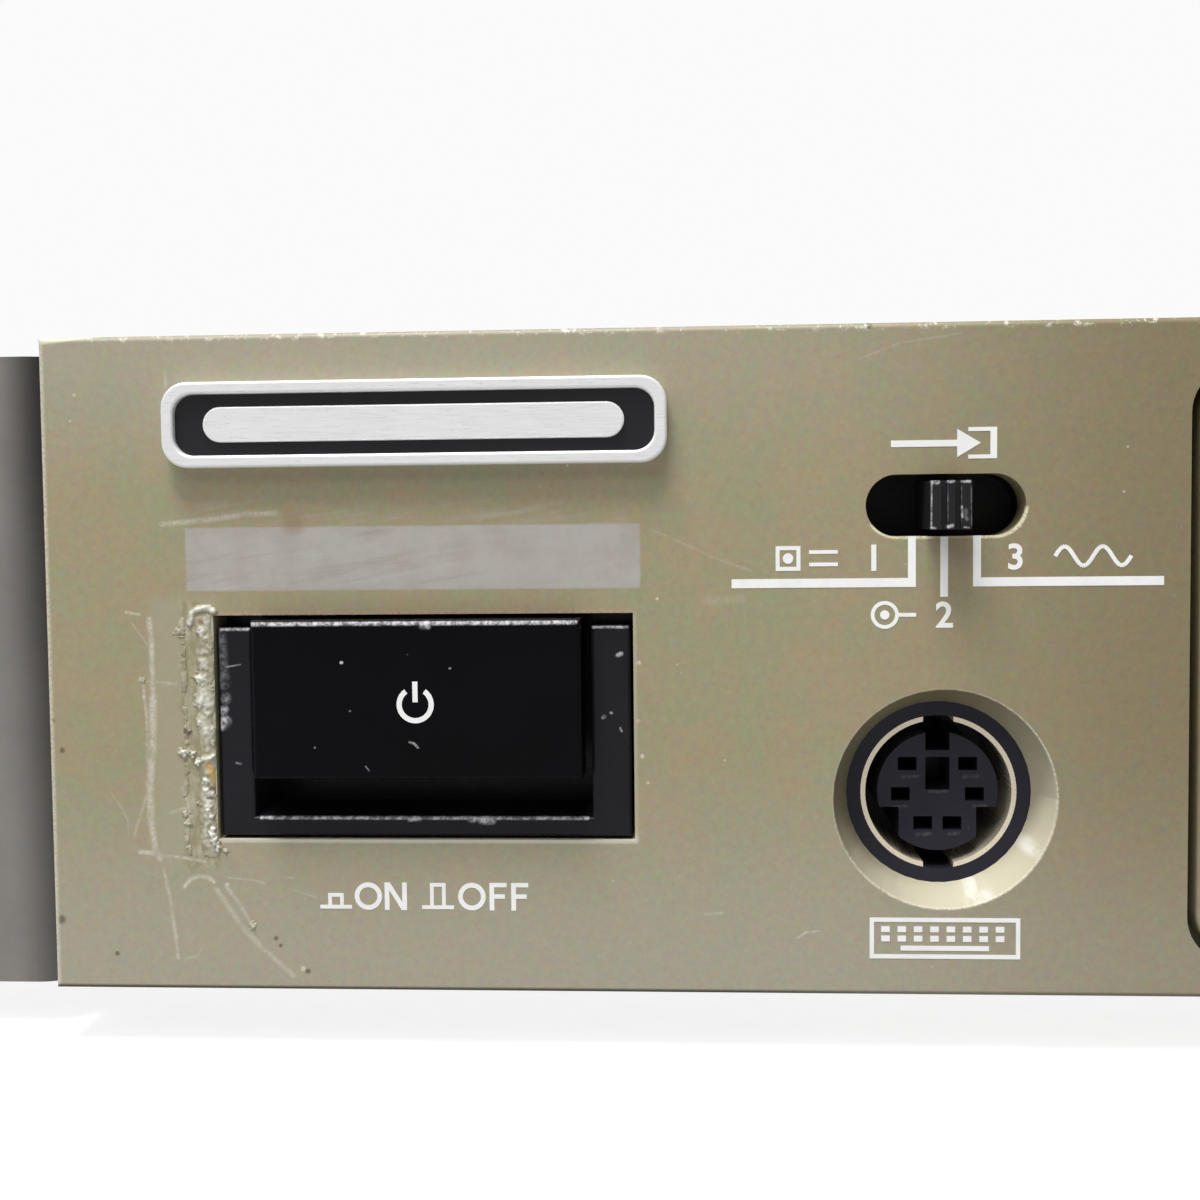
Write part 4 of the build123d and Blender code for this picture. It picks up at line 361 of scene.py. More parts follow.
class PanelPaint(Finish):
    """Satin khaki-grey paint. From ground on, each method lays one kind of mark over the others."""

    def __init__(self, name):
        super().__init__(name)
        self.where = self.panel_place()
        self.solid = self.scaled(self.place, 1 / MM)
        self.across, self.height = (self.parts(self.where)[axis] for axis in "XZ")
        wobble = self.noise(self.where, 1.1, 3.0, 0.7, "Color")
        wobble = self.stretched(self.vector("SUBTRACT", wobble, (0.5, 0.5, 0.5)), (0.13, 0.0, 0.13))
        self.point = self.vector("ADD", self.where, wobble)
        self.grit = self.ramp(self.noise(self.where, 4.5, 3.0, 0.75), 0.36, 0.60)
        self.front = self.maths("LESS_THAN", self.parts(self.place)["Y"], face_y + 0.5 * MM)

    def blot(self, centre, outer, inner):
        """A ragged spot that fades from its inner radius to its outer one."""
        return self.ramp(self.to_spot(self.point, centre), outer, inner)

    def block(self, low, high, outer, inner):
        """A ragged box that fades from an inner to an outer distance from its edge."""
        return self.ramp(self.to_box(self.point, low, high), outer, inner)

    def gritty(self, start, end):
        """The fine grit, made to run from start to end."""
        return self.ramp(self.grit, 0.0, 1.0, start, end)

    def ground(self):
        """The paint itself: clouds, a fine two-tone grain, a painted sheen at the foot and the top left
        corner, and painted shade towards the right end.
        """
        fine = self.noise(self.solid, 3.2, 3.0, 0.65)
        blotch = self.noise(self.solid, 0.30, 4.0, 0.6)
        self.start(colour(157, 154, 122), colour(165, 151, 121), self.ramp(blotch, 0.35, 0.65))
        # Painted sheen: paler towards the foot and the top left corner.
        foot = self.ramp(self.height, 17.0, 1.5)
        corner = self.times(self.ramp(self.height, 32.0, 43.0), self.ramp(self.across, 70.0, 20.0, 0.2, 0.85))
        self.lay(colour(173, 167, 150), self.maths("MAXIMUM", foot, corner), 0.75)
        # Painted shade: darker towards the right end, less so near the bottom.
        low_end = self.ramp(self.height, 1.0, 20.0, 0.5, 1.0)
        self.lay(colour(132, 119, 90), self.ramp(self.across, 50.0, 77.0), low_end, 0.85)
        self.lay(self.noise(self.solid, 1.9, 3.0, 0.8, "Color"), 0.34, blend="SOFT_LIGHT")
        self.lay(lit(PAINT, 0.72), self.ramp(fine, 0.60, 0.85, 0.0, 0.4))
        self.lay(lit(PAINT, 1.3), self.ramp(fine, 0.42, 0.18, 0.0, 0.4))
        self.roughness = self.spread(blotch, 0.42, 0.54)
        self.relief = self.noise(self.solid, 6.0, 2.0, 0.6)
        chosen = self.parts(self.cells(self.where, 0.42, "Color"))["X"]
        fleck = self.ramp(self.cells(self.where, 0.42), 0.05, 0.02)
        self.lay(BARE, fleck, self.ramp(chosen, 0.6, 0.65), 0.7)

    def label_patch(self):
        """Where a label was scraped off: a greyer patch, with soft streaks that rise to the right."""
        turned = self.add("ShaderNodeVectorRotate", {"Vector": self.where}, rotation_type="Y_AXIS")
        turned.inputs["Angle"].default_value = math.radians(9)
        streak = self.noise(self.stretched(turned.outputs[0], (0.10, 0.0, 1.5)), 1.0, 5.0, 0.62)
        clouds = self.noise(self.where, 0.35, 3.0, 0.6)
        grey = self.mix(colour(175, 168, 164), colour(184, 180, 176), self.ramp(clouds, 0.35, 0.62))
        wiped = self.ramp(self.across, 32.0, 24.0, 0.3, 1.0)
        pale, dark = self.ramp(streak, 0.50, 0.64, 0.0, 0.6), self.ramp(streak, 0.46, 0.36, 0.0, 0.35)
        grey = self.mix(grey, colour(190, 187, 184), self.times(pale, wiped))
        grey = self.mix(grey, colour(150, 141, 128), self.times(dark, wiped))
        self.lay(grey, self.block(PATCH_LOW, PATCH_HIGH, 0.12, -0.08), 0.85)
        above = self.block((10.5, 30.9), (39.0, 33.0), 0.5, -0.8)
        self.lay(colour(176, 171, 156), above, self.ramp(streak, 0.50, 0.66), 0.5)
        self.lay(colour(148, 124, 97), self.blot((17.0, 31.3), 1.2, 0.2), 0.55)

    def glue_film(self):
        """Old glue beside the power opening, thin enough to see the paint through it."""
        self.lay(colour(172, 166, 143), self.block((7.3, 8.6), (11.3, 26.2), 0.9, -0.6), 0.5)
        torn = self.maths("MULTIPLY_ADD", self.noise(self.where, 0.9, 4.0, 0.7), 2.4, -1.2)
        film = self.maths("ADD", self.to_box(self.where, GLUE_LOW, GLUE_HIGH), torn)
        film = self.ramp(film, 0.20, -0.20)
        lumps = self.noise(self.stretched(self.where, (1.0, 0.0, 0.45)), 1.5, 4.0, 0.7)
        glued = self.mix(colour(146, 139, 104), colour(188, 182, 160), self.ramp(lumps, 0.42, 0.66))
        self.lay(glued, film, 0.7)
        self.roughness = self.minus(self.roughness, self.times(film, 0.12))
        self.relief = self.maths("ADD", self.relief, self.times(film, lumps, 3.0))

    def scratches(self):
        marks = [0.0]
        for path, half, strength in PANEL_SCRATCHES:
            marks.append(self.ramp(self.to_path(self.point, path), half * 1.45, half * 0.15, 0.0, strength))
        for centre, radius in PALE_SPOTS:
            marks.append(self.blot(centre, radius, radius * 0.4))
        broken = self.ramp(self.noise(self.where, 0.8, 4.0, 0.7), 0.36, 0.60, 0.4, 1.2)
        self.lay(BARE, self.joined("MAXIMUM", marks), self.gritty(0.5, 1.0), broken, self.front)
        for centre, radius in DARK_SPOTS:
            self.lay(colour(92, 78, 60), self.blot(centre, radius, radius * 0.3), self.front, 0.75)

    def edge_wear_and_shade(self):
        """Bare metal at the power opening's rim and along the panel's left and top edges, and painted shade
        along the bottom edge.
        """
        opening = self.block(OPENING_LOW, OPENING_HIGH, 0.32, 0.10)
        rim = self.times(opening, self.ramp(self.height, 11.0, 10.3, 0.25, 0.75))
        left = self.times(self.ramp(self.across, 0.50, 0.12), self.gritty(0.35, 0.9))
        chips = self.ramp(self.noise(self.where, 1.3, 4.0, 0.75), 0.54, 0.62)
        top = self.times(self.ramp(self.height, 43.1, 43.5), chips)
        rounded = self.ramp(self.minus(self.times(self.across, 0.12), self.height), -43.1, -43.3)
        rounded = self.times(rounded, self.ramp(self.across, 9.0, 5.0))
        sides, upper = (self.joined("MAXIMUM", pair) for pair in ((rim, left), (top, rounded)))
        self.lay(colour(216, 211, 194), self.maths("MAXIMUM", sides, upper), self.front)
        self.lay(colour(170, 128, 96), opening, self.ramp(self.height, 24.9, 25.3), self.grit, 0.7)
        foot = self.ramp(self.height, 0.34, 0.14)
        self.slot_wear_and_shadow()
        # Painted shade: a dark line along the bottom edge, darker towards the left.
        self.lay(colour(72, 62, 48), foot, self.ramp(self.across, 44.0, 62.0, 0.95, 0.5))

    def slot_wear_and_shadow(self):
        """Bare metal along the selector slot's lower rim, made fainter under its knob as a painted shadow."""
        rim = self.ramp(self.to_run(self.where, *SLOT_ENDS), SLOT_RADIUS + 0.22, SLOT_RADIUS + 0.08)
        lower = self.minus(self.height, self.ramp(self.across, 57.0, 62.0, 0.0, 1.1, smooth=False))
        gritty = self.ramp(self.grit, 0.0, 0.6, 0.45, 1.0)
        # Painted shadow: the rim fades under the knob.
        shaded = self.ramp(self.apart(self.across, 59.95), 1.1, 1.5, 0.25, 1.0)
        self.lay(colour(236, 228, 196), rim, self.ramp(lower, 30.95, 30.55), gritty, shaded, self.front)

    def socket_dish(self):
        """The dish round the keyboard socket, painted shaded at its upper left and lit at its lower right,
        with painted highlights and a pale rim.
        """
        from_centre = self.to_spot(self.where, DISH_CENTRE)
        inside = self.ramp(from_centre, DISH_RADIUS + 0.05, DISH_RADIUS - 0.05)
        offset = self.vector("SUBTRACT", self.where, flat(DISH_CENTRE))
        slope = self.vector("DOT_PRODUCT", offset, (0.62, 0.0, -0.78))
        clouds = self.noise(self.where, 0.9, 3.0, 0.6)
        # Painted light: darker towards the upper left, lighter towards the lower right.
        dish_lighting = self.ramp(self.maths("ADD", slope, self.times(clouds, 3.0)), -4.5, 7.5)
        self.lay(self.mix(colour(108, 100, 78), colour(204, 198, 174), dish_lighting), inside, 0.9)
        # Painted highlights in the dish.
        for centre, radius in DISH_HIGHLIGHTS:
            shine = self.blot(centre, radius, radius * 0.2)
            self.lay(colour(240, 237, 228), shine, inside, self.ramp(clouds, 0.35, 0.6), 0.75)
        # A pale rim, brighter towards the lower right as painted light.
        edge = self.ramp(self.apart(from_centre, DISH_RADIUS), 0.11, 0.03)
        gritty = self.ramp(self.grit, 0.1, 0.9, 0.2, 0.8)
        self.lay(colour(222, 217, 198), self.times(edge, gritty, self.ramp(slope, -6.0, 2.0, 0.2, 1.0)))


def panel_paint(name):
    paint = PanelPaint(name)
    paint.ground()
    paint.label_patch()
    paint.glue_film()
    paint.scratches()
    paint.edge_wear_and_shade()
    paint.socket_dish()
    return paint.done(paint.roughness, paint.relief, 0.012, 0.6, Specular_IOR_Level=0.4)


def mottled(name, shade, grain=0.4, share=0.12, rough=0.5, rough_spread=0.08, depth=0.01, **values):
    """A finish of one colour that varies in broad clouds and in a fine grain, with a bump to match."""
    f = Finish(name)
    broad = f.grain(14, 3.0, 0.55)
    fine = f.grain(grain)
    f.vary(shade, share, broad)
    f.lay(lit(shade, 1 + 2 * share), f.ramp(fine, 0.6, 0.85, 0.0, 0.5))
    f.lay(lit(shade, 1 - 2 * share), f.ramp(fine, 0.4, 0.15, 0.0, 0.5))
    return f.done(f.spread(broad, rough - rough_spread, rough + rough_spread), fine, depth, **values)


def brushed(name, shade, along=(1.0, 0.04, 1.0), grain=0.12, rough=0.32, share=0.1, metallic=1.0):
    """Metal with fine lines drawn in one direction."""
    f = Finish(name)
    lines = f.noise(f.stretched(f.place, along), 1 / (grain * MM), 3.0, 0.6)
    f.vary(shade, share, lines)
    f.lay(lit(shade, 1 - 1.5 * share), f.ramp(f.grain(18), 0.5, 0.75, 0.0, 0.6))
    return f.done(f.spread(lines, rough - 0.08, rough + 0.1), lines, 0.004, 0.4, Metallic=metallic)


def spangled_zinc(name):
    """Zinc-plated sheet: faint crystal patches, satin lines and a trace of handling marks."""
    f = Finish(name)
    shade = colour(190, 190, 184)
    patches = f.parts(f.cells(f.place, 1 / (5 * MM), "Color"))["X"]
    f.start(lit(shade, 0.84), lit(shade, 1.08), patches)
    f.lay(colour(168, 160, 138), f.ramp(f.grain(30, 4.0), 0.52, 0.72, 0.0, 0.35))
    return f.done(f.ramp(patches, 0.0, 1.0, 0.34, 0.48), f.grain(0.3, 2.0, 0.5), 0.004, 0.4, Metallic=1.0)


def circuit_board(name, board_top, upright=False):
    """Green lacquer with tracks, and beyond it the parts: sleeved capacitors, chips and their tops."""
    f = Finish(name)
    cells = f.cells(f.place, 1 / (3.4 * MM), "Color")
    lines = f.noise(f.stretched(f.place, (1.0, 0.12, 1.0)), 1 / (1.1 * MM), 2.0, 0.4)
    tracks = f.times(f.ramp(lines, 0.52, 0.55), f.ramp(f.parts(cells)["X"], 0.3, 0.32))
    f.start(colour(16, 74, 44), colour(34, 112, 66), tracks)
    pads = f.ramp(f.cells(f.place, 1 / (2.54 * MM)), 0.17, 0.14)
    f.lay(colour(186, 182, 170), pads, f.ramp(f.parts(cells)["Y"], 0.62, 0.64))
    height = f.parts(f.place)["Y" if upright else "Z"]
    outward = -MM if upright else MM
    raised = f.ramp(height, board_top + 0.05 * outward, board_top + 0.15 * outward)
    part = f.mix(colour(22, 22, 25), colour(40, 42, 52), f.ramp(f.grain(6, 2.0, 0.5), 0.4, 0.6))
    facing = f.add("ShaderNodeNewGeometry").outputs["Normal"]
    upward = f.ramp(f.parts(facing)["Z"], 0.8, 0.95)
    tall = 0.0 if upright else f.ramp(height, board_top + 4 * MM, board_top + 5 * MM)
    part = f.mix(part, colour(176, 176, 172), f.times(upward, tall))
    f.lay(part, raised)
    return f.done(f.ramp(tracks, 0.0, 1.0, 0.36, 0.28), tracks, 0.03)


def smoky_window(name):
    """See-through smoky acrylic with a few hairlines."""
    f = Finish(name)
    drawn = f.noise(f.stretched(f.place, (0.06, 1.0, 1.0)), 1 / (0.5 * MM), 3.0, 0.7)
    hairlines = f.ramp(drawn, 0.62, 0.7)
    f.start(colour(96, 100, 104), colour(124, 128, 130), f.times(hairlines, 0.5))
    roughness = f.ramp(hairlines, 0.0, 1.0, 0.04, 0.12)
    return f.done(roughness, hairlines, 0.002, 0.2, Transmission_Weight=0.92, IOR=1.49)


POINTER_WIDTH, POINTER_DEPTH = 0.9, 0.5


def black_plastic(name, shade, rough, node=None, marks=(), level=0.25, pointer_from=None):
    """Moulded black plastic with a faint spark texture and dust specks, and pale marks on a node's front:
    worn places and painted highlights.

    A knob's pointer is a groove, filled with white from a radius outwards.
    """
    f = Finish(name)
    where = f.panel_place()
    depth = f.parts(f.place)["Y"]
    fine = f.grain(0.16, 2.0)
    f.start(lit(shade, 0.85), lit(shade, 1.3), f.spread(f.grain(9)))
    specks = f.ramp(f.cells(f.place, 1 / (1.9 * MM)), 0.05, 0.025)
    chosen = f.parts(f.cells(f.place, 1 / (1.9 * MM), "Color"))["Y"]
    f.lay(colour(150, 150, 150), f.times(specks, f.ramp(chosen, 0.7, 0.74)), 0.6)
    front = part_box(node)[0].y if node else 0.0
    if pointer_from is not None:
        across, up = middle_of(node)
        ends = [(across, up + reach) for reach in (pointer_from, radius_of(node))]
        groove = f.ramp(f.to_run(where, *ends), POINTER_WIDTH / 2 + 0.06, POINTER_WIDTH / 2)
        behind = f.ramp(depth, front + 0.15 * MM, front + 0.25 * MM)
        bottom = front + POINTER_DEPTH * MM
        sunk = f.times(behind, f.ramp(depth, bottom + 0.2 * MM, bottom + 0.1 * MM))
        f.lay(colour(226, 226, 222), groove, sunk)
    if marks:
        patchy = f.ramp(f.noise(where, 2.1, 4.0, 0.75), 0.40, 0.60, 0.2, 1.0)
        patchy = f.times(patchy, f.ramp(depth, front + 0.4 * MM, front + 0.25 * MM))
        # Worn places, and painted highlights along lit edges.
        for path, half, strength in marks:
            pale_mark = f.ramp(f.to_path(where, path), half * 1.6, half * 0.3, 0.0, strength)
            f.lay(colour(214, 214, 218), pale_mark, patchy)
    return f.done(f.spread(fine, rough - 0.05, rough + 0.07), fine, 0.006, Specular_IOR_Level=level)


# Pale marks on black plastic, given as the panel's scratches are: worn places, and painted highlights along
# lit edges
BUTTON_WEAR_AND_HIGHLIGHTS = (
    # Painted highlight along the cap's top edge.
    ([(14.3, 24.72), (35.7, 24.72)], 0.12, 0.95),
    ([(25.8, 24.6), (26.1, 24.6)], 0.22, 0.9),
    ([(20.4, 22.2), (20.45, 22.2)], 0.09, 1.0),
    ([(27.5, 21.8), (27.55, 21.8)], 0.06, 0.7),
    ([(24.8, 17.0), (25.1, 16.9), (25.35, 16.65)], 0.07, 0.9),
    ([(21.9, 15.4), (22.1, 15.15)], 0.05, 0.4),
    ([(26.0, 13.85), (33.0, 13.85)], 0.07, 0.25),
)
BEZEL_WEAR_AND_HIGHLIGHTS = (
    # The first three are painted highlights along the posts' tops and the bottom bar's top edge.
    ([(11.9, 24.25), (13.7, 24.25)], 0.10, 0.8),
    ([(36.7, 24.25), (38.9, 24.25)], 0.09, 0.6),
    ([(14.3, 11.6), (36.2, 11.6)], 0.10, 0.95),
    ([(28.4, 11.55), (28.6, 11.55)], 0.2, 1.0),
    ([(29.2, 11.5), (29.8, 11.5)], 0.26, 1.0),
    ([(24.3, 11.55), (24.9, 11.55)], 0.16, 0.8),
    ([(11.75, 24.0), (11.95, 20.6)], 0.36, 0.2),
    ([(11.75, 17.9), (12.0, 18.1)], 0.34, 0.95),
    ([(11.9, 18.8), (11.95, 18.9)], 0.26, 0.7),
    ([(12.05, 19.6), (12.1, 19.7)], 0.3, 0.4),
    ([(12.2, 21.75), (13.1, 21.9)], 0.05, 0.5),
    ([(12.7, 15.3), (13.0, 15.25)], 0.07, 0.5),
    ([(38.3, 22.4), (38.5, 22.5)], 0.13, 0.9),
    ([(37.3, 18.3), (37.35, 18.35)], 0.12, 1.0),
    ([(37.8, 18.6), (37.85, 18.6)], 0.08, 0.9),
    ([(38.4, 17.6), (38.5, 17.4)], 0.06, 0.8),
)
SELECTOR_WEAR = (
    ([(58.27, 33.3), (58.25, 30.6)], 0.05, 0.8),
    ([(58.35, 33.44), (58.62, 33.44)], 0.13, 1.0),
    ([(59.3, 33.46), (59.6, 33.5)], 0.10, 1.0),
    ([(60.15, 33.46), (60.3, 33.44)], 0.08, 0.75),
    ([(60.45, 33.47), (60.62, 33.46)], 0.09, 0.9),
    ([(59.27, 33.2), (59.28, 31.0)], 0.035, 0.2),
    ([(60.13, 33.2), (60.13, 31.0)], 0.035, 0.22),
    ([(60.14, 31.9), (60.18, 31.2)], 0.06, 0.6),
    ([(59.3, 30.64), (59.55, 30.7)], 0.10, 0.95),
    ([(58.25, 30.58), (58.5, 30.55)], 0.07, 0.7),
    ([(60.3, 30.6), (60.6, 30.56)], 0.05, 0.6),
    ([(60.38, 31.65), (60.45, 31.1)], 0.12, 0.2),
    ([(60.72, 33.2), (60.74, 30.7)], 0.035, 0.2),
)
# Painted highlights round the keyboard socket's pin holes: places from the socket's middle, and a half length
SOCKET_HIGHLIGHTS = (
    (-1.8, 0.95, 0.55), (2.2, 0.95, 0.45), (0.1, -0.05, 0.6), (-2.45, -1.1, 0.4), (2.8, -1.05, 0.35),
    (-0.9, -2.95, 0.45), (1.1, -2.9, 0.3), (0.2, 2.95, 0.35),
)


# Painted highlights round the pin holes, as short pale lines.
def socket_highlights():
    marks = []
    for across, up, half in SOCKET_HIGHLIGHTS:
        x, z = DISH_CENTRE[0] + across, DISH_CENTRE[1] + up
        marks.append(([(x - half, z), (x + half, z + 0.05)], 0.11, 0.34))
    return marks


def ear_paint(name):
    """Smooth grey paint with faint clouds and fine pits, and painted shade towards the panel, darker at the
    top than at the bottom.
    """
    f = Finish(name)
    broad = f.grain(8, 4.0)
    f.vary(colour(133, 129, 124), 0.07, broad)
    f.lay(f.grain(0.9, 3.0, 0.7, "Color"), 0.12, blend="SOFT_LIGHT")
    # Painted shade: darker towards the panel's side, most of all near the top.
    where = f.parts(f.panel_place())
    beside = f.minus(f.apart(where["X"], panel_width / 2), panel_width / 2)
    deep = f.ramp(beside, 1.6, 5.4, 0.11, 1.0)
    slight = f.ramp(beside, 1.2, 5.0, 0.42, 1.0)
    high = f.ramp(where["Z"], 2.0, 42.0)
    kept = f.maths("ADD", slight, f.times(f.minus(deep, slight), high))
    f.start(colour(6, 6, 6), f.shade, kept)
    return f.done(f.spread(broad, 0.42, 0.54), f.grain(0.35, 3.0, 0.65), 0.01)


# Rear sockets, in mm: an insulator's and a barrel's radius, and how far the barrels reach into the panel
INSULATOR_RADIUS, BARREL_RADIUS, BARREL_DEPTH = 3.3, 5.7, 1.3


def ringed_sockets(name, centres, ring_shades, body_shade):
    """Nickel-plated socket barrels with a coloured insulator in each, on a moulded body."""
    f = Finish(name)
    fine = f.grain(0.3, 2.0, 0.5)
    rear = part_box("rear_panel")[1].y
    outside = f.maths("GREATER_THAN", f.parts(f.place)["Y"], rear - BARREL_DEPTH * MM)
    metal = f.mix(colour(196, 194, 188), colour(214, 212, 206), f.spread(fine))
    f.start(body_shade, metal, outside)
    on_rear = f.stretched(f.place, (1.0, 0.0, 1.0))
    distances = [f.to_spot(on_rear, (x, z)) for x, _, z in centres]
    in_ring, past_ring = ((INSULATOR_RADIUS + share) * MM for share in (-0.05, 0.05))
    in_barrel = (BARREL_RADIUS - 0.05) * MM
    for distance, shade in zip(distances, ring_shades):
        f.lay(shade, f.ramp(distance, past_ring, in_ring), outside)
    nearest = f.joined("MINIMUM", distances)
    barrel = f.times(outside, f.ramp(nearest, BARREL_RADIUS * MM, in_barrel))
    barrel = f.times(barrel, f.ramp(nearest, in_ring, past_ring))
    f.lay(body_shade, outside, f.ramp(nearest, in_barrel, (BARREL_RADIUS + 0.05) * MM))
    return f.done(f.spread(fine, 0.24, 0.36), fine, 0.004, 0.4, Metallic=barrel)


def bands(f, axis, length):
    """Even waves along an axis."""
    inputs = {"Vector": f.place, "Scale": 1 / (length * MM)}
    return f.add("ShaderNodeTexWave", inputs, bands_direction=axis).outputs["Fac"]


def threaded_steel(name):
    """A ground rod with a fine screw thread turned into it."""
    f = Finish(name)
    groove = bands(f, "X", 6.5)
    f.start(colour(150, 150, 152), colour(214, 214, 216), groove)
    return f.done(f.ramp(groove, 0.0, 1.0, 0.4, 0.24), groove, 0.2, 0.8, Metallic=1.0)


# How far the transformer's steel sheets reach to either side of its middle, in mm
STEEL_HALF_DEPTH = 13.1


def laminations(name):
    """A transformer: varnished steel sheets edge on, and its wound coil wrapped in yellow tape."""
    f = Finish(name)
    low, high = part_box("power_transformer")
    sheets = bands(f, "Z", 3.2)
    fine = f.grain(0.8)
    f.start(colour(58, 52, 46), colour(96, 88, 78), sheets)
    tape = f.mix(colour(196, 160, 40), colour(222, 190, 70), f.spread(fine))
    from_middle = f.apart(f.parts(f.place)["Y"], (low.y + high.y) / 2)
    f.lay(tape, f.ramp(from_middle, (STEEL_HALF_DEPTH - 0.05) * MM, (STEEL_HALF_DEPTH + 0.05) * MM))
    return f.done(f.spread(fine, 0.4, 0.55), sheets, 0.05)


# The lens on the pickup sled, in mm: its radius, its ring's radius, and how far they reach down from the top
LENS_RADIUS, LENS_RING_RADIUS, LENS_DEPTH = 2.0, 3.1, 0.9


def sled_metal(name):
    """A die-cast pickup carriage with a glass lens in a dark ring."""
    f = Finish(name)
    fine = f.grain(0.25)
    f.start(colour(132, 132, 136), colour(164, 164, 168), f.spread(fine))
    low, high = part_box("pickup_sled")
    disc_low, disc_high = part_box("disc_turntable")
    middle = ((low.x + high.x) / 2, (disc_low.y + disc_high.y) / 2, 0.0)
    distance = f.vector("DISTANCE", f.stretched(f.place, (1.0, 1.0, 0.0)), middle)
    top = f.maths("GREATER_THAN", f.parts(f.place)["Z"], high.z - LENS_DEPTH * MM)
    lens, ring = (
        f.times(f.ramp(distance, (radius + 0.1) * MM, radius * MM), top)
        for radius in (LENS_RADIUS, LENS_RING_RADIUS)
    )
    f.lay(colour(18, 18, 20), ring)
    f.lay(colour(60, 48, 110), lens)
    metallic = f.minus(0.8, f.times(ring, 0.8))
    roughness = f.minus(f.spread(fine, 0.4, 0.55), f.times(lens, 0.35))
    return f.done(roughness, fine, 0.01, Metallic=metallic)


def print_ink(name, shade, share=0.06):
    """Screen-printed ink, slightly uneven, with pinholes worn in it."""
    f = Finish(name)
    fine = f.grain(0.25, 3.0, 0.7)
    f.start(lit(shade, 1 - share), shade, f.ramp(f.grain(2.2), 0.3, 0.6))
    f.lay(lit(shade, 0.62), f.ramp(fine, 0.70, 0.82))
    return f.done(f.spread(fine, 0.5, 0.62), fine, 0.004, 0.4)


# Stains in the dried glue: a path in mm, its half width and its colour
GLUE_TINTS = (
    ([(10.85, 15.3), (11.1, 14.8), (11.25, 14.2)], 0.2, colour(212, 168, 84)),
    ([(9.4, 17.5), (9.6, 17.4)], 0.22, colour(84, 66, 48)),
    ([(11.0, 13.65), (11.2, 13.6)], 0.14, colour(110, 74, 52)),
    ([(10.8, 13.0), (11.1, 12.95)], 0.08, colour(100, 70, 52)),
    ([(10.6, 24.9), (10.65, 24.7)], 0.2, colour(150, 118, 84)),
)


def old_glue(name):
    """Dried glue: milky and shiny, clearer where it is thin, yellowed in one place and dirty in others."""
    f = Finish(name)
    where = f.panel_place()
    fine = f.grain(0.4)
    thick = f.ramp(f.parts(f.place)["Y"], face_y - 0.05 * MM, face_y - 0.19 * MM)
    f.start(colour(160, 152, 122), colour(190, 184, 160), f.ramp(f.grain(1.6, 2.0, 0.5), 0.38, 0.62))
    f.lay(colour(240, 236, 223), thick)
    f.lay(colour(120, 100, 74), f.ramp(fine, 0.66, 0.78, 0.0, 0.5))
    for path, half, shade in GLUE_TINTS:
        f.lay(shade, f.ramp(f.to_path(where, path), half * 1.5, half * 0.5), 0.7)
    return f.done(f.spread(fine, 0.4, 0.56), fine, 0.03, 0.6, Subsurface_Weight=0.1)


# Which finish each CAD node takes

BOARD_THICKNESS = 1.6 * MM
FUNCTIONS = ("display", "time", "repeat", "menu")
TRANSPORT = ("rewind", "forward", "stop", "pause", "play", "record", "eject")
KNOB_SHADE, KNOB_ROUGHNESS = colour(27, 27, 29), 0.42


def rear_sockets(group, ring_shades, body_shade):
    """The finish of one group of rear sockets, whose mounts give their places."""
    centres = [mount["pos_m"] for name, mount in mounts.items() if name.startswith(f"{group}_socket")]
    return ringed_sockets(f"{group}_sockets", centres, ring_shades, body_shade)


def board(name, node):
    """A flat circuit board's finish."""
    return circuit_board(name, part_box(node)[0].z + BOARD_THICKNESS)


def knob_plastic(name, node=None, pointer_from=None):
    return black_plastic(name, KNOB_SHADE, KNOB_ROUGHNESS, node, pointer_from=pointer_from)


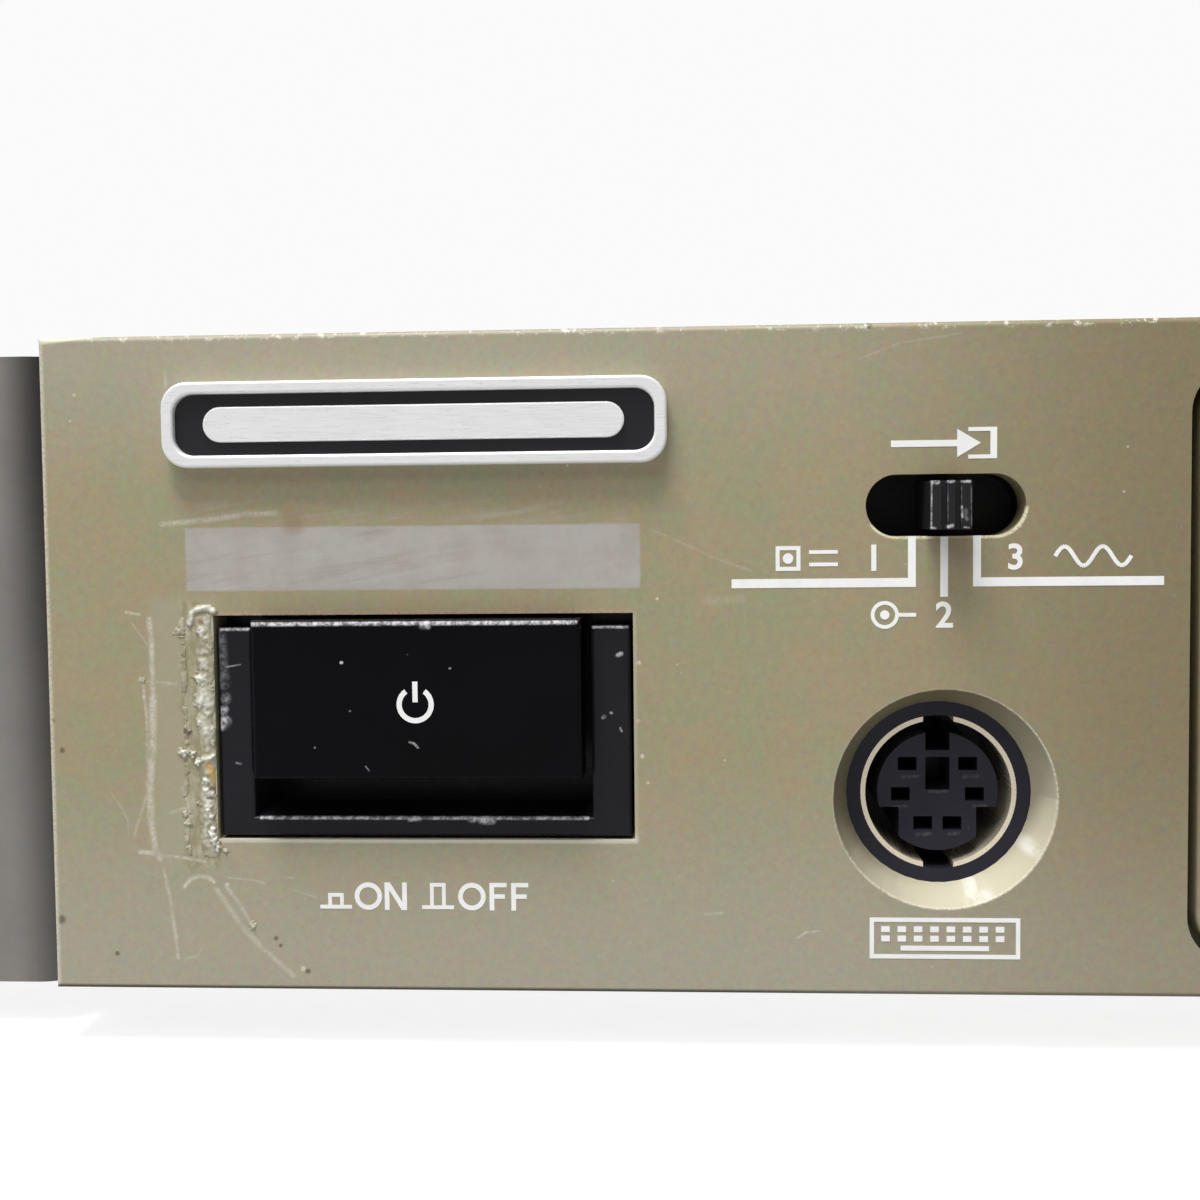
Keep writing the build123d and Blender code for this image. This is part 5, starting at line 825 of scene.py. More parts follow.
def dress_nodes():
    white, red = colour(216, 214, 206), colour(150, 22, 20)
    orange, black = colour(206, 96, 20), colour(18, 18, 19)
    front_board_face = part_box("front_board")[1].y - BOARD_THICKNESS
    finishes = {
        "deck_bezel front_panel": panel_paint("panel_paint"),
        "top_cover rear_panel": mottled("case_paint", colour(78, 76, 74), 0.55, 0.10, 0.55, 0.06, 0.03),
        "chassis_base rotary_controls mechanism_frame": spangled_zinc("zinc_plate"),
        "rack_ear_left rack_ear_right": ear_paint("ear_paint"),
        "ear_screws cover_screws": mottled(
            "black_screws", colour(36, 36, 38), 0.3, 0.15, 0.36, 0.06, 0.008, Metallic=0.7
        ),
        "feet mechanism_dampers": mottled("foot_rubber", colour(30, 30, 30), 0.3, 0.12, 0.8, 0.05, 0.03),
        "nameplate_rim": brushed(
            "nameplate_silver", colour(248, 248, 248), (0.05, 1.0, 1.0), 0.08, 0.34, 0.02, 0.3
        ),
        "nameplate_inlay": mottled("nameplate_enamel", colour(24, 24, 28), 0.3, 0.12, 0.3, 0.05, 0.004),
        "power_bezel": black_plastic(
            "bezel_plastic", colour(27, 27, 32), 0.30, "power_bezel", BEZEL_WEAR_AND_HIGHLIGHTS, 0.2
        ),
        "power_button": black_plastic(
            "button_plastic", colour(6, 4, 7), 0.24, "power_button", BUTTON_WEAR_AND_HIGHLIGHTS, 0.1
        ),
        "power_switch input_switch_body phones_jack ac_inlet": black_plastic(
            "moulded_black_plastic", colour(20, 20, 22), 0.5
        ),
        "input_switch_knob": black_plastic(
            "selector_plastic", colour(34, 33, 35), 0.34, "input_switch_knob", SELECTOR_WEAR
        ),
        "keyboard_jack": black_plastic(
            "socket_plastic", colour(36, 35, 46), 0.34, "keyboard_jack", socket_highlights()
        ),
        "keyboard_jack_shield": brushed(
            "shield_steel", colour(252, 238, 214), (1.0, 0.05, 1.0), 0.9, 0.26, 0.06, 0.5
        ),
        "display_window": smoky_window("smoky_window"),
        "display_module": mottled("display_glass", colour(20, 26, 26), 0.6, 0.08, 0.14, 0.03, 0.003),
        "slot_door": black_plastic("smooth_black_plastic", colour(18, 17, 20), 0.30),
        "front_board": circuit_board("front_circuit", front_board_face, upright=True),
        "main_board": board("main_circuit", "main_board"),
        "power_board": board("power_circuit", "power_board"),
        "jog_collar loading_slider loading_gear disc_turntable": mottled(
            "acetal", colour(206, 200, 184), 0.5, 0.05, 0.42, 0.05, 0.006
        ),
        "jog_shaft guide_rods": brushed(
            "ground_steel", colour(200, 200, 204), (0.05, 1.0, 1.0), 0.1, 0.2, 0.06
        ),
        "jog_dial": knob_plastic("jog_plastic"),
        "record_level_ring": knob_plastic(
            "ring_plastic", "record_level_ring", radius_of("record_level_knob")
        ),
        "record_level_knob": knob_plastic("record_knob_plastic", "record_level_knob", 0.3),
        "phones_level_knob": knob_plastic("phones_knob_plastic", "phones_level_knob", 0.3),
        "analog_jacks": rear_sockets("analog", (red, white, red, white), black),
        "digital_jacks": rear_sockets("digital", (orange, orange), black),
        "remote_ports": brushed("port_shell", colour(196, 194, 188), (1.0, 0.1, 1.0), 0.2, 0.3, 0.06),
        "mechanism_motors": brushed("motor_can", colour(176, 176, 178), (1.0, 1.0, 0.1), 0.2, 0.3, 0.08),
        "cartridge_holder": brushed("holder_steel", colour(190, 190, 190), grain=0.2, share=0.08),
        "magnetic_head": brushed("head_arm_steel", colour(182, 182, 184), (1.0, 0.05, 1.0), 0.15, 0.3, 0.08),
        "lead_screw": threaded_steel("threaded_steel"),
        "pickup_sled": sled_metal("sled_metal"),
        "power_transformer": laminations("transformer_stack"),
        " ".join(f"{name}_button" for name in FUNCTIONS + TRANSPORT): mottled(
            "keycap_plastic", colour(62, 61, 59), 0.2, 0.10, 0.46, 0.05, 0.012
        ),
    }
    for names, material in finishes.items():
        for name in names.split():
            nodes[name].data.materials.clear()
            nodes[name].data.materials.append(material)


# Pieces made here


def extruded(shape):
    """Extrudes a flat sheet, and gives its first faces, and the points and faces of its new side."""
    base = list(shape.faces)
    grown = bmesh.ops.extrude_face_region(shape, geom=base)["geom"]
    points = [item for item in grown if isinstance(item, bmesh.types.BMVert)]
    faces = [item for item in grown if isinstance(item, bmesh.types.BMFace)]
    return base, points, faces


def add_piece(name, shape, material, body, smooth=False):
    """Turns a shape in the row frame into a piece that rides on a CAD body."""
    bmesh.ops.recalc_face_normals(shape, faces=shape.faces)
    for face in shape.faces:
        face.smooth = smooth
    mesh = bpy.data.meshes.new(name)
    shape.to_mesh(mesh)
    shape.free()
    piece = bpy.data.objects.new(name, mesh)
    mesh.materials.append(material)
    link(piece)
    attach(piece, body)


PRINT_THICKNESS = 0.02 * MM
PRINT_GAP = 0.002 * MM
LETTER_HEIGHT, LETTER_STROKE = 1.85, 0.32
LETTER_WIDTHS = {"O": 1.85, "N": 1.5, "F": 1.15}


class Marks:
    """Printed marks on one flat face, drawn in mm from an origin, then built as one thin raised mesh."""

    def __init__(self, name, body, origin, material, mirrored=False):
        self.name, self.body, self.material = name, body, material
        self.origin = Vector(origin)
        side = -1.0 if mirrored else 1.0
        self.across = Vector((side, 0.0, 0.0))
        self.out = Vector((0.0, -side, 0.0))
        self.shapes = []
        self.letters = []

    def shape(self, points):
        """A filled outline, kept anticlockwise."""
        points = [Vector(point) for point in points]
        area = sum(a.x * b.y - b.x * a.y for a, b in zip(points, points[1:] + points[:1]))
        self.shapes.append(points if area > 0 else points[::-1])

    def rect(self, left, bottom, right, top):
        self.shape([(left, bottom), (right, bottom), (right, top), (left, top)])

    def frame(self, left, bottom, right, top, width):
        """The outline of a rectangle, as four bars."""
        self.rect(left, bottom, right, bottom + width)
        self.rect(left, top - width, right, top)
        self.rect(left, bottom, left + width, top)
        self.rect(right - width, bottom, right, top)

    def bar(self, start, end, width):
        """A straight line of a given width, squared off at its ends."""
        start, end = Vector(start), Vector(end)
        side = (end - start).normalized().orthogonal() * width / 2
        self.shape([start + side, end + side, end - side, start - side])

    def wave(self, start, height, periods, steps, width, length=4.8):
        """A sine wave from a place to the right, in short bars."""
        turn = 2 * math.pi * periods / steps
        points = []
        for n in range(steps + 1):
            points.append((start[0] + length * n / steps, start[1] + height * math.sin(n * turn)))
        for first, second in zip(points, points[1:]):
            self.bar(first, second, width)

    def ring(self, centre, outer, inner, first=0.0, last=360.0, steps=40):
        """A band between two ovals, given by half sizes, in degrees anticlockwise from the right."""
        rims = ([], [])
        for n in range(steps + 1):
            turn = math.radians(first + (last - first) * n / steps)
            for rim, half in zip(rims, (outer, inner)):
                rim.append((centre[0] + half[0] * math.cos(turn), centre[1] + half[1] * math.sin(turn)))
        for n in range(steps):
            self.shape([rims[0][n], rims[0][n + 1], rims[1][n + 1], rims[1][n]])

    def arc(self, centre, radius, width, first=0.0, last=360.0, steps=40):
        """A line along a circle."""
        outer, inner = radius + width / 2, radius - width / 2
        self.ring(centre, (outer, outer), (inner, inner), first, last, steps)

    def disc(self, centre, radius, steps=24):
        turns = [2 * math.pi * n / steps for n in range(steps)]
        self.shape([(centre[0] + radius * math.cos(t), centre[1] + radius * math.sin(t)) for t in turns])

    def letter(self, name, x, z):
        """An O, N or F in plain strokes, about its middle."""
        stroke = LETTER_STROKE
        half_width, half_height = LETTER_WIDTHS[name] / 2, LETTER_HEIGHT / 2
        if name == "O":
            inner = (half_width - stroke, half_height - stroke)
            self.ring((x, z), (half_width, half_height), inner, steps=32)
            return
        left, right, bottom, top = x - half_width, x + half_width, z - half_height, z + half_height
        self.rect(left, bottom, left + stroke, top)
        if name == "N":
            slant = stroke * 1.15
            self.rect(right - stroke, bottom, right, top)
            self.shape([(left, top), (left + slant, top), (right, bottom), (right - slant, bottom)])
        else:
            self.rect(left, top - stroke * 0.9, right, top)
            self.rect(left, z - stroke * 0.4, right - 0.12, z + stroke * 0.5)

    def text(self, words, centre, height, bold=0.03):
        """Plain figures or letters of a given cap height, centred on a place."""
        curve = bpy.data.curves.new("figures", "FONT")
        curve.body = words
        curve.offset = bold
        curve.resolution_u = 4
        holder = bpy.data.objects.new("figures", curve)
        link(holder)
        bpy.context.view_layer.update()
        mesh = bpy.data.meshes.new_from_object(holder)
        bpy.data.objects.remove(holder)
        spots = [vertex.co.xy for vertex in mesh.vertices]
        low = Vector((min(p.x for p in spots), min(p.y for p in spots)))
        high = Vector((max(p.x for p in spots), max(p.y for p in spots)))
        factor = height / (high.y - low.y)
        middle = (low + high) / 2
        moved = []
        for spot in spots:
            x, y = (spot - middle) * factor
            moved.append((centre[0] + x, centre[1] + y))
        self.letters.append((moved, [tuple(face.vertices) for face in mesh.polygons]))
        bpy.data.meshes.remove(mesh)

    def lifted(self, point):
        """A drawn point in the row frame, a hair above the face."""
        spot = self.origin + self.across * point[0] * MM + self.out * PRINT_GAP
        return spot + Vector((0.0, 0.0, point[1] * MM))

    def outlines(self):
        """The points of all outlines taken together, and the faces that fill them with no overlap."""
        points, faces = [], []
        for shape in self.shapes:
            faces.append(list(range(len(points), len(points) + len(shape))))
            points.extend(shape)
        found, _, cells, _, _, owners = delaunay_2d_cdt(points, [], faces, 0, 1e-4)
        return found, [cell for cell, owner in zip(cells, owners) if owner]

    def build(self):
        flat_shape = bmesh.new()
        drawn = [self.outlines()] if self.shapes else []
        for points, faces in drawn + self.letters:
            added = [flat_shape.verts.new(self.lifted(point)) for point in points]
            for face in faces:
                flat_shape.faces.new([added[n] for n in face])
        loose = [vertex for vertex in flat_shape.verts if not vertex.link_faces]
        bmesh.ops.delete(flat_shape, geom=loose, context="VERTS")
        base, raised, _ = extruded(flat_shape)
        bmesh.ops.translate(flat_shape, verts=raised, vec=self.out * PRINT_THICKNESS)
        bmesh.ops.delete(flat_shape, geom=base, context="FACES_ONLY")
        add_piece(self.name, flat_shape, self.material, self.body)


def ray(degrees):
    """A direction on the panel, in degrees anticlockwise from the right."""
    turn = math.radians(degrees)
    return Vector((math.cos(turn), math.sin(turn)))


def print_power_marks(marks):
    """The power button's positions under it: pressed in is on, standing out is off."""
    line = 5.55
    for left, height in ((18.24, 1.05), (25.1, 1.75)):
        marks.rect(left, line, left + 2.15, line + 0.25)
        marks.frame(left + 0.55, line, left + 1.6, line + height, 0.25)
    for name, x in (("O", 21.5), ("N", 23.35), ("O", 28.45), ("F", 30.2), ("F", 31.65)):
        marks.letter(name, x, 6.4)


def print_selector_marks(marks):
    """An arrow into a socket over the selector, and lines from its slot to 1, 2 and 3 with pictograms."""
    arrow = 35.95
    marks.bar((56.0, arrow), (60.6, arrow), 0.42)
    marks.shape([(60.2, arrow + 0.9), (61.7, arrow), (60.2, arrow - 0.9)])
    marks.rect(62.3, arrow - 1.0, 62.72, arrow + 1.0)
    marks.rect(60.9, arrow - 1.0, 62.4, arrow - 0.75)
    marks.rect(60.9, arrow + 0.75, 62.4, arrow + 1.0)
    for left, right, outer in ((57.08, 57.58, 45.75), (61.22, 61.72, 73.25)):
        marks.rect(left, 26.75, right, 30.02)
        marks.rect(min(outer, right), 26.75, max(outer, left), 27.33)
    marks.rect(59.14, 26.1, 59.63, 29.98)
    sides, below = 28.65, 24.95
    for number, place in (("1", (54.9, sides)), ("2", (59.4, below)), ("3", (63.9, sides))):
        marks.text(number, place, 1.7, 0.02)
    marks.frame(48.6, sides - 0.8, 50.2, sides + 0.8, 0.26)
    marks.disc((49.4, sides), 0.34)
    for z in (sides - 0.4, sides + 0.4):
        marks.bar((50.75, z), (52.6, z), 0.24)
    marks.arc((55.6, below), 0.78, 0.24)
    marks.disc((55.6, below), 0.3)
    marks.bar((56.35, below), (57.6, below), 0.24)
    marks.wave((66.4, sides), 0.62, 2, 48, 0.26)


def print_keyboard(marks):
    """A keyboard under its socket."""
    marks.frame(54.6, 2.45, 64.3, 5.15, 0.28)
    for bottom in (4.2, 3.58):
        for n in range(8):
            left = 55.35 + n * 7.75 / 7.35
            marks.rect(left, bottom, left + 0.55, bottom + 0.38)
    marks.rect(56.6, 2.98, 62.3, 3.3)


def print_function_signs(marks):
    """Signs under the small buttons: screen, clock, loop and list."""
    top = 29.3
    middle = top - 1.05
    screen, clock, loop, listed = (middle_of(f"{name}_button")[0] for name in FUNCTIONS)
    marks.frame(screen - 1.5, top - 2.0, screen + 1.5, top, 0.24)
    marks.rect(screen - 0.9, top - 1.2, screen + 0.4, top - 0.9)
    marks.arc((clock, middle), 0.98, 0.24)
    marks.bar((clock, middle), (clock, top - 0.4), 0.22)
    marks.bar((clock, middle), (clock + 0.5, middle), 0.22)
    marks.arc((loop - 0.7, middle), 0.8, 0.24, 90, 270)
    marks.arc((loop + 0.7, middle), 0.8, 0.24, -90, 60)
    marks.rect(loop - 0.7, top - 1.97, loop + 0.7, top - 1.73)
    marks.shape([(loop - 0.2, top + 0.25), (loop + 0.75, top - 0.25), (loop - 0.2, top - 0.75)])
    for n in range(3):
        marks.rect(listed - 1.2, top - 0.4 - 0.75 * n, listed + 1.2, top - 0.14 - 0.75 * n)


def print_level_scale(marks, knob, inner, outer, label_radius):
    """Eleven ticks over 300 degrees round a level knob, with 0, 5 and 10."""
    centre = Vector(middle_of(knob))
    for step in range(11):
        way = ray(240 - 30 * step)
        marks.bar(centre + way * inner, centre + way * outer, 0.35 if step % 5 == 0 else 0.22)
        if step % 5 == 0:
            marks.text(str(step), centre + way * label_radius, 1.5)


def print_knob_marks(marks):
    """Arrows over the jog dial, scales round the level knobs, and signs for recording and headphones."""
    jog, jog_reach = middle_of("jog_dial"), 16.2
    for side, first, last in ((-1, 100, 122), (1, 80, 58)):
        marks.arc(jog, jog_reach, 0.3, first, last, 12)
        way = ray(last)
        tip = Vector(jog) + jog_reach * way
        ahead = Vector((-way.y, way.x)) * (-side)
        marks.shape([tip + way * 0.75, tip + ahead * 1.3, tip - way * 0.75])
    print_level_scale(marks, "record_level_ring", 9.5, 10.5, 12.0)
    print_level_scale(marks, "phones_level_knob", 6.4, 7.2, 8.6)
    x = middle_of("record_level_ring")[0]
    marks.disc((x - 1.9, 5.3), 0.8)
    marks.shape([(x - 0.4, 4.6), (x + 2.8, 4.6), (x + 2.8, 6.1)])
    x = middle_of("phones_jack")[0]
    marks.arc((x, 3.6), 1.35, 0.28, 0, 180, 20)
    for ear in (x - 1.35, x + 1.35):
        marks.rect(ear - 0.35, 2.3, ear + 0.35, 3.65)


def print_front_panel(ink):
    """White marks on the front panel, apart from those on moving keys."""
    marks = Marks("panel_marks", "case", on_panel(0, 0), ink)
    print_power_marks(marks)
    print_selector_marks(marks)
    print_keyboard(marks)
    print_function_signs(marks)
    print_knob_marks(marks)
    marks.build()


def print_keys(ink, red_ink):
    """Transport signs on the keys, the eject sign, and the power sign on the power button."""

    def on_key(name):
        node = f"{name}_button"
        return Marks(f"{name}_key_sign", node, front_of(node), red_ink if name == "record" else ink)

    def arrow(marks, left, direction):
        marks.shape([(left, 1.25), (left + 1.9 * direction, 0.0), (left, -1.25)])

    signs = {name: on_key(name) for name in TRANSPORT}
    for left in (0.0, 2.0):
        arrow(signs["rewind"], left, -1)
        arrow(signs["forward"], -left, 1)
    signs["stop"].rect(-1.15, -1.15, 1.15, 1.15)
    signs["pause"].rect(-1.15, -1.25, -0.35, 1.25)
    signs["pause"].rect(0.35, -1.25, 1.15, 1.25)
    signs["play"].shape([(-1.0, 1.4), (1.4, 0.0), (-1.0, -1.4)])
    signs["record"].disc((0.0, 0.0), 1.2)
    signs["eject"].shape([(-1.25, -0.25), (1.25, -0.25), (0.0, 1.1)])
    signs["eject"].rect(-1.25, -1.0, 1.25, -0.6)
    for marks in signs.values():
        marks.build()
    power = Marks("power_button_sign", "power_button", front_of("power_button"), ink)
    rise = 19.45 - middle_of("power_button")[1]
    power.arc((0.0, rise), 1.05, 0.34, -235, 55)
    power.rect(-0.17, rise + 0.15, 0.17, rise + 1.5)
    power.build()


# A seven-segment figure, as rectangles in mm
SEGMENTS = (
    (0.35, 5.6, 2.65, 6.0), (0.35, 0.0, 2.65, 0.4), (0.35, 2.8, 2.65, 3.2), (2.6, 3.2, 3.0, 5.6),
    (2.6, 0.4, 3.0, 2.8), (0.0, 0.4, 0.4, 2.8), (0.0, 3.2, 0.4, 5.6),
)


def print_display(ink):
    """Unlit segments on the display glass: figures, two level meters and a few signs."""
    marks = Marks("display_segments", "case", front_of("display_module"), ink)
    for left in (-29.0, -24.6, -15.0, -10.6, -4.4, 0.0):
        for x0, z0, x1, z1 in SEGMENTS:
            marks.rect(left + x0, 1.6 + z0, left + x1, 1.6 + z1)
    for z in (3.2, 5.6):
        marks.rect(-6.0, z, -5.5, z + 0.5)
    for row in (-3.6, -6.4):
        for n in range(36):
            left = -27.0 + n * 1.5
            marks.rect(left, row, left + 1.0, row + 1.6)
    for value, left in ((40, -27.0), (30, -16.0), (20, -5.0), (10, 8.0), (0, 20.0)):
        marks.text(str(value), (left + 0.5, -8.6), 1.2, 0.01)
    for number, z in (("1", -2.8), ("2", -5.6)):
        marks.text(number, (-30.0, z), 1.5, 0.01)
    for bottom in (5.0, 1.6):
        for n in range(5):
            left = 6.0 + n * 4.6
            marks.frame(left, bottom, left + 3.6, bottom + 2.4, 0.25)
    marks.build()


def print_rear(ink):
    """Plain numbers and signs beside the rear sockets, readable from behind."""
    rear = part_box("rear_panel")[1].y
    marks = Marks("rear_marks", "case", (0.0, rear, 0.0), ink, mirrored=True)
    between_rows, label_reach, figure_height = 24 * MM, 8.2, 2.2

    def at(x, z):
        return (-x / MM, z / MM)

    for name, mount in mounts.items():
        if "_socket_" in name:
            x, _, z = mount["pos_m"]
            beyond = label_reach if z > between_rows else -label_reach
            marks.text(name.rsplit("_", 1)[1], at(x, z + beyond * MM), figure_height, 0.02)
    low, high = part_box("remote_ports")
    for number, x in (("1", low.x + 16 * MM), ("2", high.x - 20 * MM)):
        marks.text(number, at(x, high.z + 3.4 * MM), figure_height, 0.02)
    low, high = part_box("ac_inlet")
    x, z = at((low.x + high.x) / 2, high.z + 3.2 * MM)
    marks.wave((x - 2.4, z), 0.75, 1, 40, 0.35)
    for name, tip in (("analog_jacks", -1), ("digital_jacks", 1)):
        low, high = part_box(name)
        x, z = at(low.x - 3.0 * MM, (low.z + high.z) / 2)
        marks.bar((x - 1.6, z), (x + 1.6, z), 0.4)
        marks.shape([(x + tip * 1.3, z + 0.9), (x + tip * 2.9, z), (x + tip * 1.3, z - 0.9)])
    marks.build()


BAR_CENTRE, BAR_WIDTH, BAR_HEIGHT, BAR_THICKNESS = (25.1, 37.75), 27.6, 2.3, 0.35
BAR_SOFTNESS = 0.08


def nameplate_bar(material):
    """A slim bar with round ends and softened edges, standing on the nameplate's inlay."""
    proud = (face_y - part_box("nameplate_inlay")[0].y) / MM
    shape = bmesh.new()
    outline = []
    for side, first, steps in ((1, -90, 16), (-1, 90, 15)):
        for n in range(steps + 1):
            reach = ray(first + 180 * n / steps) * BAR_HEIGHT / 2
            middle = BAR_CENTRE[0] + side * (BAR_WIDTH - BAR_HEIGHT) / 2
            outline.append(shape.verts.new(on_panel(middle + reach.x, BAR_CENTRE[1] + reach.y, proud)))
    shape.faces.new(outline)
    _, raised, top = extruded(shape)
    bmesh.ops.translate(shape, verts=raised, vec=(0.0, -BAR_THICKNESS * MM, 0.0))
    edges = [edge for face in top for edge in face.edges]
    bmesh.ops.bevel(shape, geom=edges, offset=BAR_SOFTNESS * MM, segments=3, affect="EDGES")
    add_piece("nameplate_bar", shape, material, "case")


# Dried glue: crumbs are a place in mm, a radius and a height, the hook is a path round the opening's corner
GLUE_CRUMBS = (
    (10.6, 24.1, 0.34, 0.20), (10.7, 22.1, 0.40, 0.16), (10.5, 21.0, 0.42, 0.22), (10.5, 19.5, 0.44, 0.20),
    (10.4, 18.0, 0.26, 0.20), (9.3, 16.0, 0.28, 0.22), (9.8, 15.95, 0.26, 0.24), (9.0, 16.1, 0.20, 0.18),
    (10.2, 15.4, 0.26, 0.22), (10.55, 15.55, 0.26, 0.20), (11.1, 15.7, 0.24, 0.26), (10.7, 14.1, 0.30, 0.28),
    (10.75, 13.5, 0.30, 0.26), (11.1, 13.3, 0.24, 0.22), (10.1, 12.6, 0.18, 0.16), (10.8, 12.25, 0.28, 0.30),
    (10.95, 11.8, 0.28, 0.24), (11.1, 10.9, 0.26, 0.32), (11.05, 10.5, 0.28, 0.30), (11.25, 10.1, 0.28, 0.34),
    (11.35, 9.65, 0.26, 0.26), (11.9, 9.4, 0.15, 0.16), (9.1, 24.1, 0.30, 0.10), (9.4, 11.3, 0.22, 0.14),
    (9.25, 11.9, 0.20, 0.12), (9.5, 17.5, 0.24, 0.14), (11.15, 17.6, 0.22, 0.26), (11.2, 16.7, 0.2, 0.16),
    (10.9, 18.6, 0.24, 0.14), (11.2, 20.3, 0.18, 0.12), (11.2, 23.0, 0.18, 0.14), (6.6, 20.9, 0.16, 0.08),
    (13.65, 4.35, 0.24, 0.14),
)
GLUE_HOOK = [
    Vector(spot) for spot in ((9.85, 24.7), (10.0, 25.35), (10.4, 25.65), (11.1, 25.7), (11.5, 25.45))
]
GLUE_HOOK_HALF_WIDTH, GLUE_HOOK_HEIGHT = 0.27, 0.16
GLUE_INNER_RIDGE, GLUE_OUTER_RIDGE = 10.8, 9.35
GLUE_AREA_LOW, GLUE_AREA_HIGH = (6.0, 3.5), (14.4, 26.3)
GLUE_STEP = 0.075
GLUE_LEAST, GLUE_BURIED = 0.012, 0.01


def rough(x, z, frequency, layer):
    """Smooth noise over the panel. Each layer is another pattern."""
    return noise.noise(Vector((x * frequency, z * frequency, layer)))


def glue_height(x, z):
    """How thick the dried glue is at a place on the panel, in mm, nought where there is none."""
    coarse, fine = rough(x, z, 0.9, 3.0), rough(x, z, 3.1, 11.0)
    inner = GLUE_INNER_RIDGE + 0.2 * rough(0.0, z, 0.8, 5.0)
    outer = GLUE_OUTER_RIDGE + 0.3 * rough(0.0, z, 0.5, 9.0)
    ends = min(1.0, max(0.0, (z - 8.9) * 1.5), max(0.0, (25.4 - z) * 1.5))
    layers = [
        (1 - ((x - inner) / (0.58 + 0.2 * coarse)) ** 2, 0.10 * ends * (1 + 0.9 * fine + 0.6 * coarse)),
        (1 - ((x - outer) / 0.22) ** 2, 0.055 * ends * (0.3 + 1.8 * coarse + 0.8 * fine)),
    ]
    for start, end in zip(GLUE_HOOK, GLUE_HOOK[1:]):
        run, reach = end - start, Vector((x, z)) - start
        share = min(1.0, max(0.0, reach.dot(run) / run.length_squared))
        away = (reach - run * share).length / GLUE_HOOK_HALF_WIDTH
        layers.append((1 - away ** 2, GLUE_HOOK_HEIGHT * (1 + 0.6 * fine)))
    torn_x, torn_z = (0.28 * rough(x, z, 4.2, layer) for layer in (21.0, 27.0))
    for crumb_x, crumb_z, radius, top in GLUE_CRUMBS:
        away = math.hypot(x + torn_x - crumb_x, (z + torn_z - crumb_z) * 0.85) / radius
        dome = max(0.0, 1 - away ** 2 * (0.6 + 0.4 * fine))
        layers.append((dome ** 2, top * (1 + 0.5 * fine)))
    return max(max(0.0, form) * max(0.0, depth) for form, depth in layers)


def over_opening(x, z):
    """Whether a square of glue would reach over the power opening's edge."""
    return x > OPENING_LOW[0] - 0.5 * GLUE_STEP and OPENING_LOW[1] - 0.1 < z < OPENING_HIGH[1] + 0.1


def glue_crust(material):
    """Dried glue round the power opening's left side, as one closed sheet of uneven thickness."""
    shape = bmesh.new()
    corners = {}

    def spot(column, row):
        return GLUE_AREA_LOW[0] + column * GLUE_STEP, GLUE_AREA_LOW[1] + row * GLUE_STEP

    def corner(column, row):
        if (column, row) not in corners:
            corners[(column, row)] = shape.verts.new(on_panel(*spot(column, row), -GLUE_BURIED))
        return corners[(column, row)]

    columns, rows = (int((high - low) / GLUE_STEP) for low, high in zip(GLUE_AREA_LOW, GLUE_AREA_HIGH))
    for column in range(columns):
        for row in range(rows):
            x, z = spot(column + 0.5, row + 0.5)
            if not over_opening(x, z) and glue_height(x, z) > GLUE_LEAST:
                around = ((column, row), (column + 1, row), (column + 1, row + 1), (column, row + 1))
                shape.faces.new([corner(*place) for place in around])
    for vertex in extruded(shape)[1]:
        x = (vertex.co.x - panel_low.x) / MM
        z = (vertex.co.z - panel_low.z) / MM
        vertex.co.y = face_y - max(GLUE_BURIED, glue_height(x, z)) * MM
    add_piece("glue_crust", shape, material, "case", smooth=True)


# Surroundings: lights are a name, a place from the panel's left end and a size in metres, and a power
LIGHTS = (
    ("key_light", (-0.12, -0.24, 0.75), (0.34, 0.2), 6.9),
    ("front_fill", (-0.45, -0.75, 0.85), (0.9, 0.45), 4.0),
)
LIGHTS_FOCUS = (35, 22)
FLOOR_REACH = 6.0
PAPER_DARK, PAPER_LIGHT, PAPER_DIMMED = (0.86, 0.86, 0.86, 1.0), (0.9, 0.9, 0.9, 1.0), 0.84
FLOOR_GLOW, SKY_GLOW = (0.45, 0.99), (0.26, 0.96)


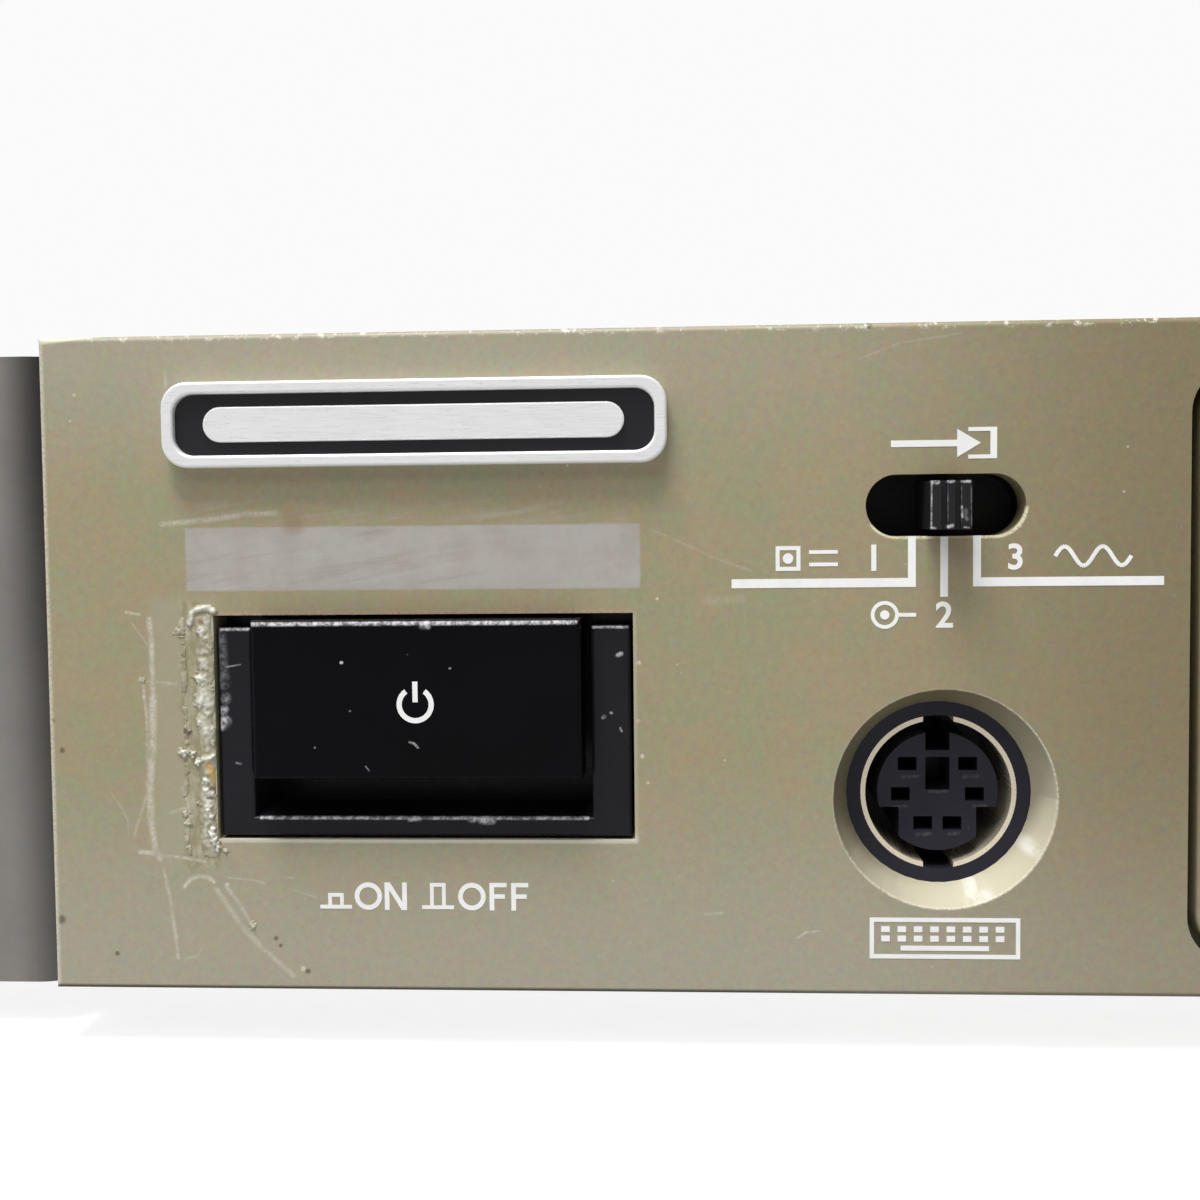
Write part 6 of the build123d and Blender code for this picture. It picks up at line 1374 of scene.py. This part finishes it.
def glow(n, strengths):
    """A strength for the light that falls on things, and another for what the camera sees."""
    seen = n.add("ShaderNodeLightPath").outputs["Is Camera Ray"]
    return n.ramp(seen, 0.0, 1.0, *strengths, smooth=False)


def lay_floor():
    """A pale paper floor that runs far back."""
    mesh = bpy.data.meshes.new("floor")
    corners = [(x * FLOOR_REACH, y * FLOOR_REACH, 0.0) for x, y in ((-1, -1), (1, -1), (1, 1), (-1, 1))]
    mesh.from_pydata(corners, [], [(0, 1, 2, 3)])
    floor = bpy.data.objects.new("floor", mesh)
    paper = Finish("floor_paper")
    tone = paper.mix(PAPER_DARK, PAPER_LIGHT, paper.grain(2.5))
    paper.set(Base_Color=paper.mix(tone, BLACK, PAPER_DIMMED), Roughness=0.8)
    paper.set(Emission_Color=tone, Emission_Strength=glow(paper, FLOOR_GLOW))
    mesh.materials.append(paper.material)
    link(floor)


def hang_lights():
    focus = on_panel(*LIGHTS_FOCUS)
    for name, offset, size, power in LIGHTS:
        data = bpy.data.lights.new(name, "AREA")
        data.shape = "RECTANGLE"
        data.size, data.size_y = size
        data.energy = power
        lamp = bpy.data.objects.new(name, data)
        lamp.location = focus + Vector(offset)
        lamp.rotation_euler = (focus - lamp.location).to_track_quat("-Z", "Y").to_euler()
        link(lamp)


def light_surroundings():
    """White surroundings on every side."""
    world = bpy.data.worlds.new("surroundings")
    world.use_nodes = True
    n = Nodes(world.node_tree)
    background = world.node_tree.nodes["Background"]
    n.feed(background.inputs["Color"], WHITE)
    n.feed(background.inputs["Strength"], glow(n, SKY_GLOW))
    bpy.context.scene.world = world
    bpy.context.scene.view_settings.view_transform = "Standard"


place_camera()
dress_nodes()
white_ink = print_ink("white_ink", colour(252, 252, 250))
print_front_panel(white_ink)
print_keys(white_ink, print_ink("red_ink", colour(196, 40, 30)))
print_display(print_ink("unlit_segments", colour(158, 176, 168)))
print_rear(white_ink)
nameplate_bar(nodes["nameplate_rim"].data.materials[0])
glue_crust(old_glue("old_glue"))
lay_floor()
hang_lights()
light_surroundings()
